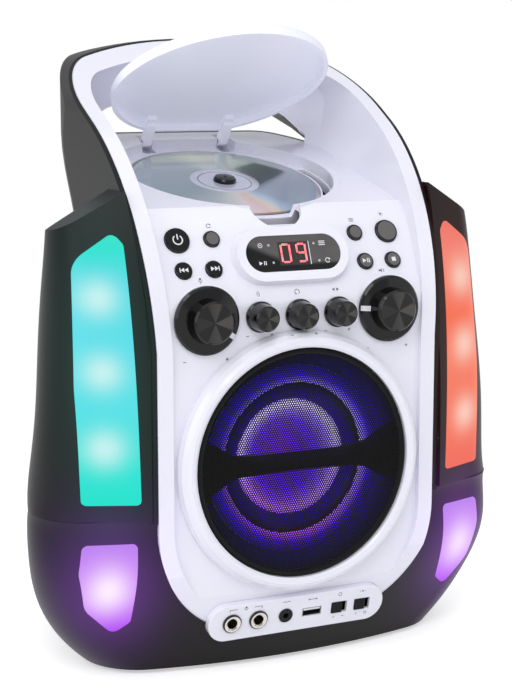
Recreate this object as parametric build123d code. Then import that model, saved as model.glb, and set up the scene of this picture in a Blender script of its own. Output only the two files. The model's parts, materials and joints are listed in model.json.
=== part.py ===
from build123d import *
from functools import cache
from math import asin, atan2, cos, degrees, pi, radians, sin, sqrt, tan
import os

# Karaoke machine with a top-loading disc well under a round hinged lid.
# Millimetres, X to the machine's left-right, Y front to back, Z up from the floor.
# Shapes are drawn with y = 0 at the face of the speaker grille and moved at the
# end, so that the origin is under the middle of the footprint.

# ---------------------------------------------------------------- driving sizes
BACK_Y = 200.0          # rearmost plane of the cabinet
FRONT_Y = -4.2          # about the foremost point, the caps of the big knobs
CENTRE_Y = (BACK_Y + FRONT_Y) / 2

WALL = 3.0              # moulded cabinet wall
SKIN = 2.5              # white front moulding and tower wall
FOOT_H = 3.0
BASE_TOP = 102.0        # seam between base and light towers
BASE_HALF = 155.3       # widest half width of the base
BASE_ROUND = 100.0      # large rounding of the two bottom corners, seen from the front
BASE_ROUND_Z = 80.0
BOW_R = 400.0           # bowed front, seen from above
PLAN_CORNER_R = 38.0
SIDE_TAPER = 20.0       # degrees by which the sides close towards the back

PANEL_HALF = 92.3       # white front moulding
PANEL_BOTTOM = 30.0
LOW_CORNER_R = 70.6
LOW_CORNER_Z = 93.0
FLARE_Z = 200.0
FLARE = 0.066
ARCH_TOP = 380.5
CROWN_R = 290.0
CROWN_CORNER_R = 31.0
CROWN_SHARE = 0.4       # share of the side wall's thickness that shows over the crown
RIM_W = 9.7             # raised rim round the white front
RIM_Y = 5.5
ARCH_SLOPE = 28.8       # degrees, the straight upper run of the arch's front edge
ARCH_BEND_R = 150.0
ARCH_BEND_Z = 198.6

COLUMN_HALF = 101.8     # centre column, seen from above: long side curves, tighter rear ones
COLUMN_SIDE_R = 115.0
COLUMN_BACK_R = 25.0

ROOF_X, ROOF_Y, ROOF_Z = 102.0, 58.0, 291.0     # inner end of the crease in a tower's roof
ROOF_FALL = 0.575       # fall to the side, per mm
ROOF_REAR_FALL = 0.28   # fall towards the back, behind the crease

GRILLE_R = 70.3
GRILLE_Z = 128.0
RING_R = 79.5
PANEL_Y = 9.0
KNEE_Z = 225.4          # below it the panel with the knobs is upright, above it leans back
KNEE_R = 12.0
CONTROL_TILT = 28.8     # degrees, the button rows
BUTTON_TILT = 28.0
LINE_TOP_Z = 264.0      # where the leaning panel starts to curve over to the deck
DECK_SLOPE = 14.2
LIP_Y, LIP_Z = 44.4, 280.0

DISC_R = 60.0
DISC_TILT = 15.8
DISC_AT = (0, 116.3, 290.1)
WELL_R = 70.0
WELL_TOP_R = 74.5
LEDGE_H = 8.0
SCOOP_R = 17.0
SCOOP_REACH = 16.0

LID_R = 71.0
LID_RIM = 7.5
HINGE_Y, HINGE_Z = 183.65, 313.3
LID_OPEN = 42.8         # degrees between closed and open
ARM_X = 28.0

KNOB_Z = 217.25
KNOB_SEAT_R = 19.4      # upright seats under the two big knobs
BIG_KNOB_X = 60.5
SMALL_KNOB_X = 25.85
BUTTONS = {
    "power_button": (-70.0, 262.0, 7.7),
    "repeat_button": (-47.9, 262.0, 5.0),
    "previous_button": (-69.8, 245.2, 5.2),
    "next_button": (-50.5, 245.2, 5.2),
    "program_button": (47.9, 262.0, 5.0),
    "lights_button": (70.0, 262.0, 7.3),
    "play_button": (50.5, 245.2, 5.2),
    "stop_button": (69.8, 245.2, 5.2),
}
BUTTON_TRAVEL = 0.8
DISPLAY_AT = (21.8, 250.9)
DISPLAY_TILT = 22.0
GAP = 0.3               # running gap round buttons, lid and slides
SHAFT_R = 3.0
SHAFT_GAP = 0.05

PARTS = "parts"
made = {}


def keep(name, shape):
    """Note a finished piece under its node name."""
    made[name] = shape


# ---------------------------------------------------------------- outlines
def lean(x, y, z, tilt):
    """A place on a front that leans back by tilt degrees: local z points out of it."""
    return Location((x, y, z), (90 - tilt, 0, 0))


def disc_place(x=0.0, y=0.0, h=0.0):
    """A place in the disc's own tilted plane, h above the top of the disc."""
    return Location(DISC_AT, (DISC_TILT, 0, 0)) * Location((x, y, h))


def front_prism(outline, y0, y1):
    """Carry a front-view outline (x, z) from y0 back to y1."""
    return Pos(0, y1, 0) * extrude(Plane.XZ * outline, y1 - y0)


def side_prism(outline, half=175.0):
    """Carry a side-view outline (y, z) to both sides."""
    return extrude(Plane.YZ * outline, half, both=True)


def spun(points):
    """Turn a closed (radius, height) outline about the local z axis."""
    return revolve(Plane.XZ * make_face(Polyline(*points, close=True)), Axis.Z)


def tube(r_out, r_in, h0, h1):
    return Pos(0, 0, h0) * extrude(Circle(r_out) - Circle(r_in), h1 - h0)


def rod(r, h0, h1):
    return Pos(0, 0, h0) * extrude(Circle(r), h1 - h0)


def block(x0, x1, y0, y1, z0, z1):
    return Pos((x0 + x1) / 2, (y0 + y1) / 2, (z0 + z1) / 2) * Box(x1 - x0, y1 - y0, z1 - z0)


def panel_outline(inset):
    """White front, seen from the front: rounded foot, flared sides, crowned arch."""
    hw = PANEL_HALF - inset
    low_r = LOW_CORNER_R - inset
    bottom = PANEL_BOTTOM + inset
    cx = PANEL_HALF - LOW_CORNER_R
    xb = cx + sqrt(low_r ** 2 - (LOW_CORNER_Z - bottom) ** 2)
    half_turn = atan2(bottom - LOW_CORNER_Z, xb - cx) / 2
    mid = (cx + low_r * cos(half_turn), LOW_CORNER_Z + low_r * sin(half_turn))
    crown_z = ARCH_TOP - CROWN_R
    crown_r = CROWN_R - (inset if inset > 0 else CROWN_SHARE * inset)
    x0 = hw - FLARE * FLARE_Z
    a = 1 + FLARE ** 2
    b = FLARE * x0 - crown_z
    c = x0 ** 2 + crown_z ** 2 - crown_r ** 2
    zf = (-b + sqrt(b * b - a * c)) / a
    xf = x0 + FLARE * zf
    edges = []
    for s in (1, -1):
        edges += [
            Line((0, bottom), (s * xb, bottom)),
            ThreePointArc((s * xb, bottom), (s * mid[0], mid[1]), (s * hw, LOW_CORNER_Z)),
            Line((s * hw, LOW_CORNER_Z), (s * hw, FLARE_Z)),
            Line((s * hw, FLARE_Z), (s * xf, zf)),
        ]
    edges.append(ThreePointArc((xf, zf), (0, crown_z + crown_r), (-xf, zf)))
    face = make_face(edges)
    corners = [v for v in face.vertices() if abs(abs(v.X) - xf) < 0.01 and abs(v.Y - zf) < 0.01]
    return fillet(corners, max(CROWN_CORNER_R - inset, 3.0))


def skin_region(inset):
    """Everything behind the arch's swept front edge, seen from the side."""
    y = RIM_Y + inset
    r = ARCH_BEND_R - inset
    cy = RIM_Y + ARCH_BEND_R
    turn = radians(90 - ARCH_SLOPE)
    end = (cy - r * cos(turn), ARCH_BEND_Z + r * sin(turn))
    mid = (cy - r * cos(turn / 2), ARCH_BEND_Z + r * sin(turn / 2))
    slope = radians(ARCH_SLOPE)
    far = (end[0] + 180 * cos(slope), end[1] + 180 * sin(slope))
    edges = [
        Line((far[0], 0), (22 + inset, 0)),
        Line((22 + inset, 0), (y, 66)),
        Line((y, 66), (y, ARCH_BEND_Z)),
        ThreePointArc((y, ARCH_BEND_Z), mid, end),
        Line(end, far),
        Line(far, (far[0], 0)),
    ]
    return side_prism(make_face(edges))


def deck_height(y):
    """Height of the disc deck at a given depth."""
    return LIP_Z + (y - LIP_Y) * tan(radians(DECK_SLOPE))


def panel_depth(z):
    """Depth of the control panel at a height, on the centre line."""
    return PANEL_Y + max(z - KNEE_Z, 0.0) * tan(radians(CONTROL_TILT))


def hollow_region(inset):
    """Space in front of the panel and above the deck, seen from the side."""
    back = 172.0
    lean_turn = radians(CONTROL_TILT)
    knee = (PANEL_Y, KNEE_Z)
    top = (panel_depth(LINE_TOP_Z), LINE_TOP_Z)
    edges = [
        Line((-60, 25), (PANEL_Y + 2, 25)),
        Line((PANEL_Y + 2, 25), (PANEL_Y, 60)),
        Line((PANEL_Y, 60), knee),
        Line(knee, top),
        TangentArc(top, (LIP_Y, LIP_Z), tangent=(sin(lean_turn), cos(lean_turn))),
        Line((LIP_Y, LIP_Z), (back, deck_height(back))),
        Line((back, deck_height(back)), (back, 420)),
        Line((back, 420), (-60, 420)),
        Line((-60, 420), (-60, 25)),
    ]
    face = make_face(edges)
    face = fillet([v for v in face.vertices() if abs(v.X - PANEL_Y) < 0.01 and abs(v.Y - KNEE_Z) < 0.01], KNEE_R)
    return offset(face, inset) if inset else face


def smooth(t):
    t = min(max(t, 0.0), 1.0)
    return t * t * (3 - 2 * t)


def column_section(z, inset):
    """Plan of the centre column: straight sides, then long curves to a flat back."""
    lift = smooth((z - 250) / 72)
    half = COLUMN_HALF + 3.2 * lift
    hw = half - inset
    ys = 95.0 + 18.0 * lift
    back_centre = BACK_Y - 14.0 * smooth((z - 345) / 45) - COLUMN_BACK_R
    r_side = COLUMN_SIDE_R - inset
    r_back = COLUMN_BACK_R - inset
    yb = back_centre + r_back
    rise = back_centre - ys
    reach = COLUMN_SIDE_R - COLUMN_BACK_R
    cx = half - COLUMN_SIDE_R
    xr = cx + sqrt(reach ** 2 - rise ** 2)
    turn = asin(rise / reach)
    joint = (xr + r_back * cos(turn), back_centre + r_back * sin(turn))
    side_mid = (cx + r_side * cos(turn / 2), ys + r_side * sin(turn / 2))
    back_turn = (turn + pi / 2) / 2
    back_mid = (xr + r_back * cos(back_turn), back_centre + r_back * sin(back_turn))
    edges = [Line((-hw, -30), (hw, -30))]
    for s in (1, -1):
        edges += [
            Line((s * hw, -30), (s * hw, ys)),
            ThreePointArc((s * hw, ys), (s * side_mid[0], side_mid[1]), (s * joint[0], joint[1])),
            ThreePointArc((s * joint[0], joint[1]), (s * back_mid[0], back_mid[1]), (s * xr, yb)),
        ]
    edges.append(Line((xr, yb), (-xr, yb)))
    return Pos(0, 0, z) * make_face(edges)


@cache
def column_plan(inset):
    """The column in one piece: straight up to the deck, then swelling and leaning in."""
    low, waist, shoulder = 20, 250, 322
    straight = extrude(column_section(low, inset), waist - low)
    swell = loft([column_section(z, inset) for z in (waist, 268, 286, 304, shoulder)])
    crown = loft([column_section(z, inset) for z in (shoulder, 340, 358, 375, 392)])
    return straight + swell + crown


def base_front(z):
    """Depth of the base's front on the centre line, by height: a chin that tucks under."""
    table = ((3, 19.0), (12, 16.2), (24, 11.8), (36, 7.2), (50, 1.0), (64, -2.9), (80, -4.0), (102, -4.6))
    for (za, ya), (zb, yb) in zip(table, table[1:]):
        if z <= zb:
            return ya + (yb - ya) * (z - za) / (zb - za)
    return table[-1][1]


def base_half(z):
    """Half width of the base by height: straight taper over a large round corner."""
    if z < BASE_ROUND_Z:
        return BASE_HALF - BASE_ROUND + sqrt(BASE_ROUND ** 2 - (BASE_ROUND_Z - z) ** 2)
    return BASE_HALF - 0.03 * (z - BASE_ROUND_Z)


def base_section(z, inset, at=None):
    """Plan of the base: bowed front, round corners, sides that close to a flat back."""
    w = base_half(z)
    y0 = base_front(z)
    rc = PLAN_CORNER_R
    rr = 25.0
    yb = BACK_Y - 8.0 * smooth((40 - z) / 40)
    a = radians(SIDE_TAPER)
    bow = (0, y0 + BOW_R)
    xc = w - rc
    yc = bow[1] - sqrt((BOW_R - rc) ** 2 - xc ** 2)
    reach = xc * cos(a) + yc * sin(a) + rc
    xr = (reach - rr - (yb - rr) * sin(a)) / cos(a)
    yr = yb - rr
    r1 = rc - inset
    r2 = rr - inset
    lead = atan2(yc - bow[1], xc)
    start = (bow[0] + (BOW_R - inset) * cos(lead), bow[1] + (BOW_R - inset) * sin(lead))
    mid_turn = (lead + a) / 2
    mid = (xc + r1 * cos(mid_turn), yc + r1 * sin(mid_turn))
    end = (xc + r1 * cos(a), yc + r1 * sin(a))
    rear0 = (xr + r2 * cos(a), yr + r2 * sin(a))
    rear_turn = (a + pi / 2) / 2
    rear_mid = (xr + r2 * cos(rear_turn), yr + r2 * sin(rear_turn))
    rear1 = (xr, yr + r2)
    edges = [ThreePointArc((-start[0], start[1]), (0, y0 + inset), start)]
    for s in (1, -1):
        edges += [
            ThreePointArc((s * start[0], start[1]), (s * mid[0], mid[1]), (s * end[0], end[1])),
            Line((s * end[0], end[1]), (s * rear0[0], rear0[1])),
            ThreePointArc((s * rear0[0], rear0[1]), (s * rear_mid[0], rear_mid[1]), (s * rear1[0], rear1[1])),
        ]
    edges.append(Line(rear1, (-rear1[0], rear1[1])))
    return Pos(0, 0, z if at is None else at) * make_face(edges)


@cache
def base_body(inset):
    levels = (3.0, 12.0, 24.0, 38.0, 56.0, 80.0, 102.0)
    ends = (levels[0] + inset, levels[-1] - inset)
    sections = [base_section(z, inset, min(max(z, ends[0]), ends[1])) for z in levels]
    return loft(sections)


def tower_front(z):
    """Depth of the tower's slanted front at its inner edge, sweeping back as it rises."""
    return 7.0 + 30.5 * ((z - BASE_TOP) / 203.0) ** 2.95


def tower_section(z, inset):
    """Plan of the right-hand tower: slanted front, round corner, side that closes to the back."""
    slope = radians(23.3)
    a = radians(SIDE_TAPER)
    w = 154.8 - 0.0875 * (z - BASE_TOP)
    rc = 37.0 - 15.0 * smooth((z - 215) / 70)
    rr = 18.0
    yb = 172.0
    nx, ny = -sin(slope), cos(slope)
    inner_x = 104.0
    xc = w - rc
    yc = tower_front(z) + (rc - nx * (xc - inner_x)) / ny
    reach = xc * cos(a) + yc * sin(a) + rc
    yr = yb - rr
    xr = (reach - rr - yr * sin(a)) / cos(a)
    r1, r2 = rc - inset, rr - inset
    lead = atan2(-ny, -nx)
    mid_turn = (lead + a) / 2
    mid = (xc + r1 * cos(mid_turn), yc + r1 * sin(mid_turn))
    end = (xc + r1 * cos(a), yc + r1 * sin(a))
    start = (xc + r1 * cos(lead), yc + r1 * sin(lead))
    x_in = 80.0
    inner = (x_in, start[1] - (start[0] - x_in) * tan(slope))
    rear0 = (xr + r2 * cos(a), yr + r2 * sin(a))
    rear_turn = (a + pi / 2) / 2
    rear_mid = (xr + r2 * cos(rear_turn), yr + r2 * sin(rear_turn))
    rear1 = (xr, yr + r2)
    edges = [
        Line(inner, start),
        ThreePointArc(start, mid, end),
        Line(end, rear0),
        ThreePointArc(rear0, rear_mid, rear1),
        Line(rear1, (x_in, rear1[1])),
        Line((x_in, rear1[1]), inner),
    ]
    return Pos(0, 0, z) * make_face(edges)


def under_roof(rear_fall, inset):
    """All space under one plane of the tower's roof."""
    roof = Plane(origin=(ROOF_X, ROOF_Y, ROOF_Z), z_dir=(ROOF_FALL, rear_fall, 1))
    return roof * (Pos(0, 0, -inset) * Box(700, 700, 400, align=(Align.CENTER, Align.CENTER, Align.MAX)))


@cache
def tower_body(inset):
    """Tower block under its two-way sloping roof, right-hand side."""
    levels = (BASE_TOP + inset, 145.0, 185.0, 220.0, 246.0, 268.0, 300.0)
    block_ = loft([tower_section(z, inset) for z in levels])
    return block_ & under_roof(0, inset) & under_roof(ROOF_REAR_FALL, inset)


# ---------------------------------------------------------------- cabinet
def rounded(corners, grow):
    """Closed outline through corners given as (x, z, rounding)."""
    face = make_face(Polyline(*[(x, z) for x, z, _ in corners], close=True))
    for x, z, r in corners:
        face = fillet([v for v in face.vertices() if abs(v.X - x) < 0.01 and abs(v.Y - z) < 0.01], r)
    return offset(face, grow) if grow else face


def tower_lens_outline(grow):
    return rounded([(102.4, 112.0, 3.0), (134.6, 112.0, 3.0), (136.2, 180.0, 120.0), (133.4, 253.0, 16.0),
                    (110.6, 269.0, 4.5), (105.4, 262.0, 4.0)], grow)


def base_lens_outline(grow):
    return rounded([(103.6, 88.4, 3.0), (134.6, 88.4, 4.0), (136.8, 71.0, 12.0), (132.0, 47.0, 14.0),
                    (114.5, 30.0, 5.0), (105.0, 38.0, 4.0)], grow)


def make_cabinet():
    panel_full = panel_outline(0)
    arch_outer = front_prism(panel_outline(-WALL), -20, BACK_Y + 5)
    arch_inner = front_prism(panel_full, -20, BACK_Y + 5)
    plan_outer = column_plan(0)
    plan_inner = column_plan(WALL)
    skin = skin_region(0.8)

    column = arch_outer & plan_outer & skin
    column -= block(-200, 200, -60, 260, 0, BASE_TOP - 2)
    column -= arch_inner & plan_inner
    # strip of the cabinet between the white front and each tower
    strips = block(-97, 97, -20, 60, BASE_TOP - 2, 262) & plan_outer & skin_region(1.4)
    strips -= arch_inner
    column += strips
    grip = grip_prism(0, 165, BACK_Y + 10)
    sleeve = (grip_prism(WALL, 175, BACK_Y) & plan_outer & arch_outer) - grip
    column = column + sleeve - grip

    outer = base_body(0)
    inner = base_body(WALL)
    base = outer - inner
    base -= arch_inner & block(-200, 200, -30, 40, 0, 110)
    base -= arch_inner & plan_inner & block(-200, 200, -30, 260, 90, 120)
    cabinet = base + column
    cabinet -= plate_prism(0.15)
    cabinet -= lean(0, 8.8, 31.75, -12) * (Pos(0, 0, -20) * extrude(SlotOverall(115, 19.6), 20))

    for s in (1, -1):
        hole = front_prism(base_lens_outline(0), -30, 60)
        if s < 0:
            hole = mirror(hole, about=Plane.YZ)
        cabinet -= hole
        cabinet -= Pos(s * 97, 70, 190) * Rot(0, 90, 0) * Cylinder(9, 30)

    # parting plane of the two cabinet halves, leaning back with the arch
    tilt = degrees(atan2(40, 283))
    front_half = Pos(0, 150, 100) * Rot(-tilt, 0, 0) * Box(500, 400, 900, align=(Align.CENTER, Align.MAX, Align.CENTER))
    front = cabinet & front_half
    rear = cabinet - front_half
    for z in (150, 160, 170, 180, 190, 200):
        rear -= Pos(0, BACK_Y, z) * Box(56, 12, 3.2)
    rear -= Pos(-52, BACK_Y, 60) * Rot(90, 0, 0) * Cylinder(4.6, 12)
    for x in (-42, 42):
        for z in (132, 204):
            rear += Pos(x, BACK_Y - 10.1, z) * Rot(90, 0, 0) * Cylinder(3, 16.2)
    for x, z in screw_places():
        place = Pos(x, BACK_Y, z) * Rot(-90, 0, 0)
        rear += place * rod(4.2, -13, -2)
        rear -= place * rod(1.6, -20, 1)
        rear -= place * rod(3.4, -2.0, 3)
    for x in (-1, 1):
        for y in (45, 165):
            front -= Pos(x * 82, y, 3) * Cylinder(8.2, 1.6)
            rear -= Pos(x * 82, y, 3) * Cylinder(8.2, 1.6)
    above = block(-200, 200, -60, 260, BASE_TOP, 420)
    keep("front_cabinet", front - above)
    keep("arch_hood", front & above)
    keep("rear_cabinet", rear)
    return arch_inner, plan_inner


def screw_places():
    return [(-72, 44), (72, 44), (-72, 88), (72, 88), (-24, 120), (24, 120), (-36, 292), (36, 292)]


def grip_prism(grow, y0, y1):
    """Hand grip through the back of the arch, above the deck."""
    low = deck_height(172) - 3
    points = [(-88, low), (-88, 313), (-81.5, 321), (-72, 329), (-60, 336), (-40, 343), (0, 346)]
    half = [(x, z) for x, z in points]
    other = [(-x, z) for x, z in reversed(points[:-1])]
    face = make_face(Polyline(*(half + other), close=True))
    face = offset(face, grow) if grow else face
    deck = [(y0 - 5, deck_height(y0 - 5)), (y1 + 5, deck_height(y1 + 5)), (y1 + 5, 420), (y0 - 5, 420)]
    return front_prism(face, y0, y1) & side_prism(make_face(Polyline(*deck, close=True)))


def plate_prism(grow):
    """The raised pill that carries the sockets, leaning with the chin of the base."""
    place = lean(0, 8.8, 31.75, -12)
    return place * (Pos(0, 0, -6) * extrude(SlotOverall(119.6 + 2 * grow, 24 + 2 * grow), 6 + (3 if grow else 0)))


def ring_profile():
    """Raised white ring round the grille, with its seat and the speaker baffle."""
    section = [(GRILLE_R + 0.15, -4), (GRILLE_R + 0.15, 0.2), (GRILLE_R + 1.6, 1.2), (GRILLE_R + 4, 1.6),
               (RING_R - 3, 0.4), (RING_R - 0.6, -2.5), (RING_R + 0.4, -6), (RING_R + 0.4, -PANEL_Y - 1),
               (GRILLE_R + 3.2, -PANEL_Y - 1), (GRILLE_R + 3.2, -19), (50.5, -19), (50.5, -16.5),
               (GRILLE_R + 0.6, -16.5), (GRILLE_R + 0.6, -5.4), (GRILLE_R - 1.4, -5.4), (GRILLE_R - 1.4, -4)]
    return lean(0, 0, GRILLE_Z, 0) * spun(section)


def make_fascia(arch_inner, plan_inner):
    hollow = side_prism(hollow_region(0)) & front_prism(panel_outline(RIM_W), -70, 180) & column_plan(WALL + SKIN)
    shell = side_prism(hollow_region(SKIN)) & front_prism(panel_outline(RIM_W - SKIN), -70, 180)
    shell = shell - hollow
    tail = [(165, deck_height(165)), (BACK_Y + 5, deck_height(BACK_Y + 5)),
            (BACK_Y + 5, deck_height(BACK_Y + 5) - SKIN), (165, deck_height(165) - SKIN)]
    shell += side_prism(make_face(Polyline(*tail, close=True))) & front_prism(panel_outline(RIM_W - SKIN), 160, 210)
    flange = front_prism(panel_outline(0) - panel_outline(RIM_W - 0.5), -20, 210) & skin_region(0)
    flange -= skin_region(4.0)
    fascia = (shell & skin_region(0) & plan_inner) + (flange & plan_inner)
    fascia -= grip_prism(0, 168, 215)

    ring = ring_profile()
    fascia -= lean(0, 0, GRILLE_Z, 0) * rod(GRILLE_R + 3.2, -15, 5)
    fascia += ring
    # pod round the display window
    pod_place = display_place()
    pod = pod_place * (Pos(0, 0, -9) * extrude(SlotOverall(79.8, 39.8), 15.2, taper=12))
    fascia += pod & side_prism(hollow_region(SKIN))
    # well through the deck, with the finger notch in its front rim
    fascia -= disc_place() * rod(WELL_TOP_R + SKIN, -30, 14)
    fascia -= disc_place() * block(-36, 36, 60, 81.5, -4, 28)
    fascia -= plate_prism(0.15)
    fascia -= lean(0, 8.8, 31.75, -12) * (Pos(0, 0, -20) * extrude(SlotOverall(115, 19.6), 20))
    for name, (x, z, r) in BUTTONS.items():
        fascia -= button_place(x, z) * rod(r + GAP, -15, 15)
    for x, _ in knob_list():
        if abs(x) > BIG_KNOB_X - 1:
            fascia += knob_place(x) * rod(KNOB_SEAT_R, -12, 0) & side_prism(hollow_region(SKIN))
        fascia -= knob_place(x) * rod(4.0, -20, 10)
    fascia -= pod_place * (Pos(0, 0, 4) * extrude(SlotOverall(62.8, 22.3), 20))
    fascia -= pod_place * (Pos(0, 0, -14) * extrude(SlotOverall(58, 17), 20))
    keep("front_fascia", fascia)


def button_place(x, z):
    return lean(x, panel_depth(z), z, BUTTON_TILT)


def display_place():
    return lean(0, *DISPLAY_AT, DISPLAY_TILT)


def knob_list():
    return [(-BIG_KNOB_X, "mic_volume_knob"), (-SMALL_KNOB_X, "echo_knob"), (0.0, "talkover_knob"),
            (SMALL_KNOB_X, "balance_knob"), (BIG_KNOB_X, "master_volume_knob")]


def knob_place(x):
    return lean(x, PANEL_Y, KNOB_Z, 0)


def make_towers():
    column = front_prism(panel_outline(-WALL), -20, BACK_Y + 5) & column_plan(0)
    column += block(0, 97, -30, 60, 95, 262) & column_plan(0)
    outer = tower_body(0)
    inner = tower_body(SKIN)
    deep = tower_body(SKIN + 1.6)
    window = front_prism(tower_lens_outline(0), -30, 62)
    flange = front_prism(tower_lens_outline(2.5), -30, 62)
    tower = outer - inner - column - window
    lens = ((outer - inner) & front_prism(tower_lens_outline(-0.2), -30, 62)) + ((inner - deep) & flange)
    lens -= column
    board = Pos(119, 34, 184) * Rot(0, 0, 23.3) * Box(24, 1.6, 116)
    leds = board
    for z in (134, 184, 234):
        leds += Pos(119, 34, z) * Rot(0, 0, 23.3) * Pos(0, -1.6, 0) * Box(6, 1.8, 6)
    base = base_body(0)
    base_in = base_body(WALL)
    base_deep = base_body(WALL + 1.6)
    base_window = front_prism(base_lens_outline(-0.2), -30, 62)
    base_flange = front_prism(base_lens_outline(2.2), -30, 62)
    base_lens = ((base - base_in) & base_window) + ((base_in - base_deep) & base_flange)
    base_led = Pos(119, 33, 63) * Rot(0, 0, 16) * Box(26, 1.6, 38)
    base_led += Pos(119, 33, 63) * Rot(0, 0, 16) * Pos(0, -1.6, 0) * Box(8, 1.8, 8)
    for side, name in ((1, "right"), (-1, "left")):
        for label, piece in (("tower", tower), ("tower_lens", lens), ("tower_lights", leds),
                             ("base_lens", base_lens), ("base_light", base_led)):
            keep(f"{name}_{label}", piece if side > 0 else mirror(piece, about=Plane.YZ))


# ---------------------------------------------------------------- speaker
def make_speaker():
    front = lean(0, 0, GRILLE_Z, 0)
    dish = spun([(0, -3.2), (GRILLE_R - 1.2, -3.2), (GRILLE_R - 1.2, -4), (GRILLE_R, -4), (GRILLE_R, -2.2),
                 (GRILLE_R - 2.2, -1.4), (0, -1.4)])
    keep("speaker_grille", front * dish)

    # bow-tie bar: narrow in the middle, wide where it meets the ring
    half = [(-69, -26), (-52, -20), (-30, -9.5), (0, -7.5), (30, -9.5), (52, -20), (69, -26)]
    upper = [(-x, -y) for x, y in half]
    bow = make_face([Spline(*half), Line(half[-1], upper[0]), Spline(*upper), Line(upper[-1], half[0])])
    bar = (Pos(0, 0, -8.6) * extrude(bow, 3)) & rod(GRILLE_R - 0.2, -20, 0)
    keep("grille_crossbar", front * bar)

    ring = tube(57.5, 50.5, -16.5, -12.8) + tube(56.0, 51.5, -12.8, -11.6)
    keep("light_ring", front * ring)

    basket = spun([(46.5, -19.0), (58.0, -19.0), (58.0, -21.6), (47.0, -21.6), (32.0, -41.0), (30.0, -41.0),
                   (30.0, -43.0), (16.5, -43.0), (16.5, -41.0), (28.6, -40.0), (44.4, -21.0), (46.5, -21.0)])
    for angle in (0, 60, 120, 180, 240, 300):
        basket -= Rot(0, 0, angle) * Pos(40, 0, -31) * Box(24, 17, 18)
    keep("speaker_basket", front * basket)

    magnet = spun([(0, -41), (11.6, -41), (11.6, -59), (15.4, -59), (15.4, -43.05), (31, -43.05), (31, -66), (0, -66)])
    keep("speaker_magnet", front * magnet)

    roll = spun([(36.3, -20.4), (37.0, -19.0), (39.5, -17.2), (41.5, -16.8), (43.5, -17.4), (45.4, -19.1),
                 (46.4, -19.3), (46.4, -20.9), (45.0, -20.9), (41.5, -18.3), (38.0, -20.2), (37.2, -21.2),
                 (36.3, -21.2)])
    keep("cone_surround", front * roll)

    cone = spun([(0, -28.0), (5.0, -28.4), (9.5, -30.2), (12.8, -33.4), (34.8, -20.6), (35.8, -20.6), (35.8, -21.8),
                 (14.2, -35.4), (14.2, -52.0), (13.0, -52.0), (13.0, -35.6), (9.0, -31.6), (5.0, -29.8), (0, -29.4)])
    keep("speaker_cone", front * cone)


# ---------------------------------------------------------------- control panel
def make_controls():
    for x, name in knob_list():
        big = abs(x) > 40
        flange_r, cap_r, height = (20.35, 12.6, 13.6) if big else (9.3, 7.6, 12.4)
        edge = 2.4 if big else 1.8
        profile = [(0, -14), (SHAFT_R, -14), (SHAFT_R, 0.5), (flange_r, 0.5), (flange_r, edge),
                   (flange_r - 1.2, edge + 1.0), (cap_r + 0.9, edge + 1.6), (cap_r, height - 1.0),
                   (cap_r - 1.0, height), (0, height + 0.35)]
        keep(name, knob_place(x) * spun(profile))

    pots = None
    for x, _ in knob_list():
        bush = tube(3.8, SHAFT_R + SHAFT_GAP, -16.0, -1.5)
        body = tube(8.0, SHAFT_R + SHAFT_GAP, -16.0, -10.0) + rod(8.0, -19.0, -16.0)
        pot = knob_place(x) * (bush + body)
        pots = pot if pots is None else pots + pot
    keep("potentiometers", pots)

    for name, (x, z, r) in BUTTONS.items():
        cap = spun([(0, -10.0), (1.6, -10.0), (1.6, -4.0), (r, -4.0), (r, 1.3), (r - 0.5, 1.8), (0, 1.8)])
        keep(name, button_place(x, z) * cap)

    pod_place = display_place()
    keep("display_window", pod_place * (Pos(0, 0, 4.0) * extrude(SlotOverall(62.6, 22.1), 1.8)))
    module = (Pos(0, 0, -3.0) * Box(24, 14, 8)) + (Pos(0, 0, -7.8) * Box(50, 15, 1.6))
    keep("display_module", pod_place * (Pos(0, 0, 1.5) * module))

    board = None
    for x in (-60.3, 60.3):
        place = lean(x, panel_depth(253.6), 253.6, BUTTON_TILT)
        slab = place * (Pos(0, 0, -16.5) * Box(42, 38, 1.6))
        board = slab if board is None else board + slab
    for name, (x, z, r) in BUTTONS.items():
        gap_h = -10.0 - BUTTON_TRAVEL - 0.4
        board += button_place(x, z) * rod(2.6, -17.2, gap_h)
    board += lean(0, panel_depth(253.6), 253.6, BUTTON_TILT) * (Pos(0, 0, -19.0) * Box(160, 10, 1.6))
    board += lean(-60.3, panel_depth(253.6), 253.6, BUTTON_TILT) * (Pos(0, 0, -18.0) * Box(10, 10, 3))
    board += lean(60.3, panel_depth(253.6), 253.6, BUTTON_TILT) * (Pos(0, 0, -18.0) * Box(10, 10, 3))
    keep("control_board", board)


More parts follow.
